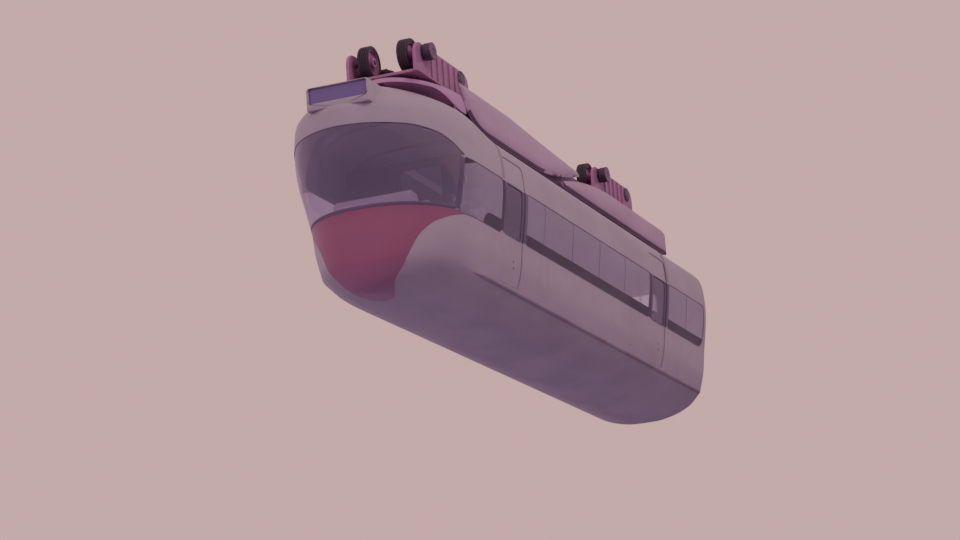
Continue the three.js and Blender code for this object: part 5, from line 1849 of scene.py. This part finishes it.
pin = [
    disc("z", (PIN_X, 0, BAR_Z), 0.030, -0.075, 0.075),
    disc("z", (PIN_X, 0, BAR_Z), 0.044, 0.079, 0.092, segments=6),
]
piece("drawbar_pin", joined(*pin), bare_steel, "car")

LIP = 0.045  # the bellows' line runs this far outside the passage
lip = front_box(PASSAGE["half"] + LIP, FLOOR_TOP - LIP, PASSAGE["high"] + LIP, 0.105, 0.165, 8)
lip = resample(lip, 0.05)
before, after = lip - np.roll(lip, 1, axis=0), np.roll(lip, -1, axis=0) - lip
out = np.stack([before[:, 1] + after[:, 1], -(before[:, 0] + after[:, 0])], 1)
out /= np.linalg.norm(out, axis=1, keepdims=True)
bellows_path = np.stack([np.full(len(lip), REAR_X - 0.0015), lip[:, 0], lip[:, 1] + WINDOW_TOP], 1)
bellows_ups = np.stack([np.zeros(len(lip)), out[:, 0], out[:, 1]], 1)
BELLOWS_DEPTH, FOLDS = 0.118, 4
FOLD = [(0.0, 0.018), (0.35, 0.044), (0.65, 0.044), (1.0, 0.018)]  # share of a fold's depth, and height
fold = BELLOWS_DEPTH / FOLDS
crests = [(k * fold + fold * share, height) for k in range(FOLDS) for share, height in FOLD]
trough = [(d, -h) for d, h in reversed(crests)]
bellows = sweep(bellows_path, bellows_ups, crests + trough, closed=True)
piece("bellows", bellows, dark_rubber, "car", ["passage_frame"])

EYE = [(0.033, -0.040), (0.060, -0.040), (0.065, -0.034), (0.065, 0.034), (0.060, 0.040), (0.033, 0.040)]
eye = turned(EYE, "z", (PIN_X, 0, BAR_Z), 40, closed=True)
BAR_END = PIN_X - 0.26
shank = block(BAR_END - 0.001, PIN_X - 0.055, -0.035, 0.035, BAR_Z - 0.03, BAR_Z + 0.03, 0.006)
flange = block(BAR_END - 0.025, BAR_END, -0.09, 0.09, BAR_Z - 0.09, BAR_Z + 0.09, 0.005)
nut_places = [(0, y, BAR_Z + z) for y in (-0.065, 0.065) for z in (-0.065, 0.065)]
nuts = bolts("x", nut_places, 0.013, BAR_END - 0.001, BAR_END + 0.012)
piece("drawbar_half", joined(eye, shank, flange, *nuts), dark_steel, "drawbar", ["drawbar"])
print("bellows:", len(bellows[1]), "faces")

# %% [markdown]
# ## Saloon and cab
#
# From the ground one looks up through the windows at the ceiling, so the ceiling matters more than the
# floor. It is a lining with a row of light strips on each side, and its colour is darkened: painted shade
# for the dim cabin. A dark ledge runs along the foot of the windows, and the doors carry a strip of it, so
# that it looks unbroken when they are shut.

# %% Linings and ledges
LINING_DEPTH, LINING_THICK = 0.060, 0.004
SALOON = (REAR_X + 0.05, 3.48)
CAB = (3.56, 4.30)
CEILING_FOOT = 0.05


def lining(x0, x1, z0, z1, depth, thick=LINING_THICK):
    """A panel along the inside of the wall. Without an upper height it runs up to the crown."""
    low, high = float(b_at(z0)), (GIRTH if z1 is None else float(b_at(z1)))
    g0, g1 = NOSE_LENGTH + NOSE_FROM - x0, NOSE_LENGTH + NOSE_FROM - x1
    return sheet([(g1, low), (g0, low), (g0, high), (g1, high)], thick, depth, spacing=0.12, chamfer=0.001)


saloon = lining(*SALOON, CEILING_FOOT, None, LINING_DEPTH)
cab_roof = lining(*CAB, CEILING_FOOT, None, LINING_DEPTH)
# the ceiling linings take the darkened colour: painted shade
piece("ceiling_saloon", both_sides(saloon), ceiling_shaded, "car", (), WELD)
piece("ceiling_cab", both_sides(cab_roof), ceiling_shaded, "car", (), WELD)
wall_runs = [(SALOON[0], -4.03), (-3.11, 2.61)]
skirts = [lining(a, b, FLOOR_TOP + 0.01, SILL - 0.03, LINING_DEPTH) for a, b in wall_runs]
piece("wall_linings", both_sides(joined(*skirts)), cabin_trim, "car")
LEDGE_LOW, LEDGE_TOP = SILL - 0.06, -0.58
LEDGE_DEPTH, LEDGE_THICK = 0.058, 0.016
DOOR_LEDGE_DEPTH = 0.0492  # just behind the leaf
ledges = [lining(a, b, LEDGE_LOW, LEDGE_TOP, LEDGE_DEPTH, LEDGE_THICK) for a, b in wall_runs + [CAB]]
piece("window_ledges", both_sides(joined(*ledges)), dark_rubber, "car")
for door in DOORS:
    strip_in = lining(door["from"] + 0.01, door["to"] - 0.02, LEDGE_LOW, LEDGE_TOP, DOOR_LEDGE_DEPTH)
    for side, to_side in SIDES.items():
        owner = f"door_{door['name']}_{side}"
        piece(f"{owner}_ledge", to_side(strip_in), dark_rubber, owner)
LIGHT_RUNS = [(-5.7, -3.3), (-2.6, 0.0), (0.3, 2.9)]
LIGHT_SECTION = (0.770, 0.786, 0.065, 0.018)  # heights from and to, depth, thickness
light_strips = [lining(a, b, *LIGHT_SECTION) for a, b in LIGHT_RUNS]
piece("ceiling_lights", both_sides(joined(*light_strips)), lamp_lens, "car")
print("linings on both sides:", len(skirts) + len(ledges))

# %% [markdown]
# ### Seats
#
# Cushions are blocks with a wide, many-stepped bevel, so they look stuffed. The backrest cushions thin out
# towards the top. A dark shell carries each pair, and the shells stand on plinths.

# %% Passenger seats and poles
FLOOR_Z = WINDOW_TOP + FLOOR_TOP
SEAT = {"inner": 0.33, "outer": 1.03, "depth": 0.48}
# heights above the floor, from and to
SEAT_Z = {"cushion": (0.335, 0.427), "backrest": (0.42, 0.966), "shell": (0.12, 0.978),
          "base": (0.12, 0.333), "plinth": (0.001, 0.122)}
# place of each backrest, and which way its seat faces
SEAT_ROWS = [(1.64, -1), (0.20, 1), (-0.06, -1), (-1.50, 1), (-5.96, 1)]
PLINTHS = [(-1.46, 1.60), (-5.92, -5.52)]
POLES = (1.66, 0.07, -1.52, -5.46)
POLE_Y, POLE_TOP = 0.322, WINDOW_TOP + 0.735


def seat_part(part, xs, ys, bevel=0.034, segments=4):
    """A block of a seat. Its two lengths come in any order, its heights from the table."""
    low, high = SEAT_Z[part]
    return block(*sorted(xs), *ys, FLOOR_Z + low, FLOOR_Z + high, bevel, segments)


def back_cushion(x, facing, ys):
    """A backrest cushion that is thinner at its top."""
    root = x + facing * 0.026
    points, faces, faces_n = seat_part("backrest", (root, x + facing * 0.108), ys)
    low, high = (FLOOR_Z + z for z in SEAT_Z["backrest"])
    rise = (points[:, 2] - low) / (high - low)
    points[:, 0] = root + (points[:, 0] - root) * (1 - 0.42 * rise)
    return points, faces, faces_n


cushions, shells = [], []
middle = (SEAT["inner"] + SEAT["outer"]) / 2
places = ((SEAT["inner"] + 0.012, middle - 0.003), (middle + 0.003, SEAT["outer"] - 0.012))
wide = (SEAT["inner"], SEAT["outer"])
for x, facing in SEAT_ROWS:
    front = x + facing * SEAT["depth"]
    for ys in places:
        cushions.append(seat_part("cushion", (x + facing * 0.11, front - facing * 0.004), ys))
        cushions.append(back_cushion(x, facing, ys))
    shells.append(seat_part("shell", (x, x + facing * 0.024), wide, 0.008, 2))
    shells.append(seat_part("base", (x + facing * 0.02, front - facing * 0.03), wide, 0.010, 2))
for span in PLINTHS:
    shells.append(seat_part("plinth", span, (SEAT["inner"] + 0.08, SEAT["outer"] - 0.08), 0.004, 1))
for side, to_side in SIDES.items():
    covered = [f"seats_middle_{side}", f"seat_rear_{side}"]
    pads = piece(f"cushions_{side}", to_side(joined(*cushions)), seat_cloth, "car", covered)
    piece(f"seat_shells_{side}", to_side(joined(*shells)), cabin_trim, "car")
poles = []
for x in POLES:
    foot, head = (x, POLE_Y, FLOOR_Z), (x, POLE_Y, POLE_TOP)
    poles.append(rod(foot, head, 0.016, 14))
    poles += [disc("z", foot, 0.034, 0.0, 0.012), disc("z", head, 0.034, -0.012, 0.0)]
piece("grab_poles", both_sides(joined(*poles)), bare_steel, "car")
print("seat pairs:", 2 * len(SEAT_ROWS), "cushions:", 2 * len(cushions))

# %% [markdown]
# ### Driver's place
#
# The desk is the CAD block with softened edges. On it stand a hooded instrument panel with three dials and
# a lever with a short grip. The driver's seat is a cushion and a backrest on a shell and a post.

# %% Desk and driver's seat
dress("driver_desk", desk_grey, 0.008)
dress("cab_partition", cabin_trim, 0.004)
dress("floor_deck", floor_cover, 0.0)
dress("underfloor_block", dark_steel, 0.01)
DESK_TOP = FLOOR_Z + 0.78
# the hood's outline: length, and height above the desk
HOOD = [(4.98, -0.03), (5.40, -0.03), (5.42, 0.10), (5.30, 0.21), (5.10, 0.20)]
HOOD_HALF = 0.58
hood = plate("y", [(x, DESK_TOP + z) for x, z in HOOD], HOOD_HALF, 2 * HOOD_HALF, chamfer=0.008)
LEVER_X, GRIP_X, LEVER_Y = 4.86, 4.83, 0.34
lever = [
    disc("z", (LEVER_X, LEVER_Y, 0), 0.045, DESK_TOP - 0.03, DESK_TOP + 0.02),
    rod((LEVER_X, LEVER_Y, DESK_TOP), (GRIP_X, LEVER_Y, DESK_TOP + 0.13), 0.010),
    disc("y", (GRIP_X, 0, DESK_TOP + 0.14), 0.022, 0.31, 0.37),
]
piece("desk_hood", hood, desk_grey, "car")
piece("desk_controls", joined(*lever), dark_rubber, "car")
DIAL = [(0.052, 0.0), (0.052, 0.008), (0.046, 0.010), (0.043, 0.006), (0.001, 0.006)]
DIAL_TILT = math.radians(180 + 26)
DIALS_AT = np.array([5.030, 0, DESK_TOP + 0.075])
tilt = np.array(Matrix.Rotation(DIAL_TILT, 3, "Y"))
dials = []
for y in (-0.17, 0.0, 0.17):
    points, faces, faces_n = turned(DIAL, "x", (0, y, 0), 28)
    dials.append((points @ tilt.T + DIALS_AT, faces, faces_n))
piece("desk_dials", joined(*dials), bare_steel, "car")

seat_z = FLOOR_Z + 0.43
driver_pads = [
    block(4.09, 4.455, -0.232, 0.232, seat_z - 0.03, FLOOR_Z + 0.488, 0.036, 4),
    block(4.015, 4.09, -0.225, 0.225, seat_z + 0.02, FLOOR_Z + 1.012, 0.034, 4),
]
pads = piece("driver_cushions", joined(*driver_pads), seat_cloth, "car", ["driver_seat"])
frame_parts = [
    block(4.03, 4.44, -0.22, 0.22, FLOOR_Z + 0.345, seat_z - 0.02, 0.008),
    block(4.0, 4.018, -0.21, 0.21, FLOOR_Z + 0.40, FLOOR_Z + 0.98, 0.006),
    disc("z", (4.23, 0, 0), 0.045, FLOOR_Z + 0.02, FLOOR_Z + 0.36),
    disc("z", (4.23, 0, 0), 0.078, FLOOR_Z + 0.001, FLOOR_Z + 0.024),
]
piece("driver_seat_frame", joined(*frame_parts), cabin_trim, "car")
print("cab fitted")
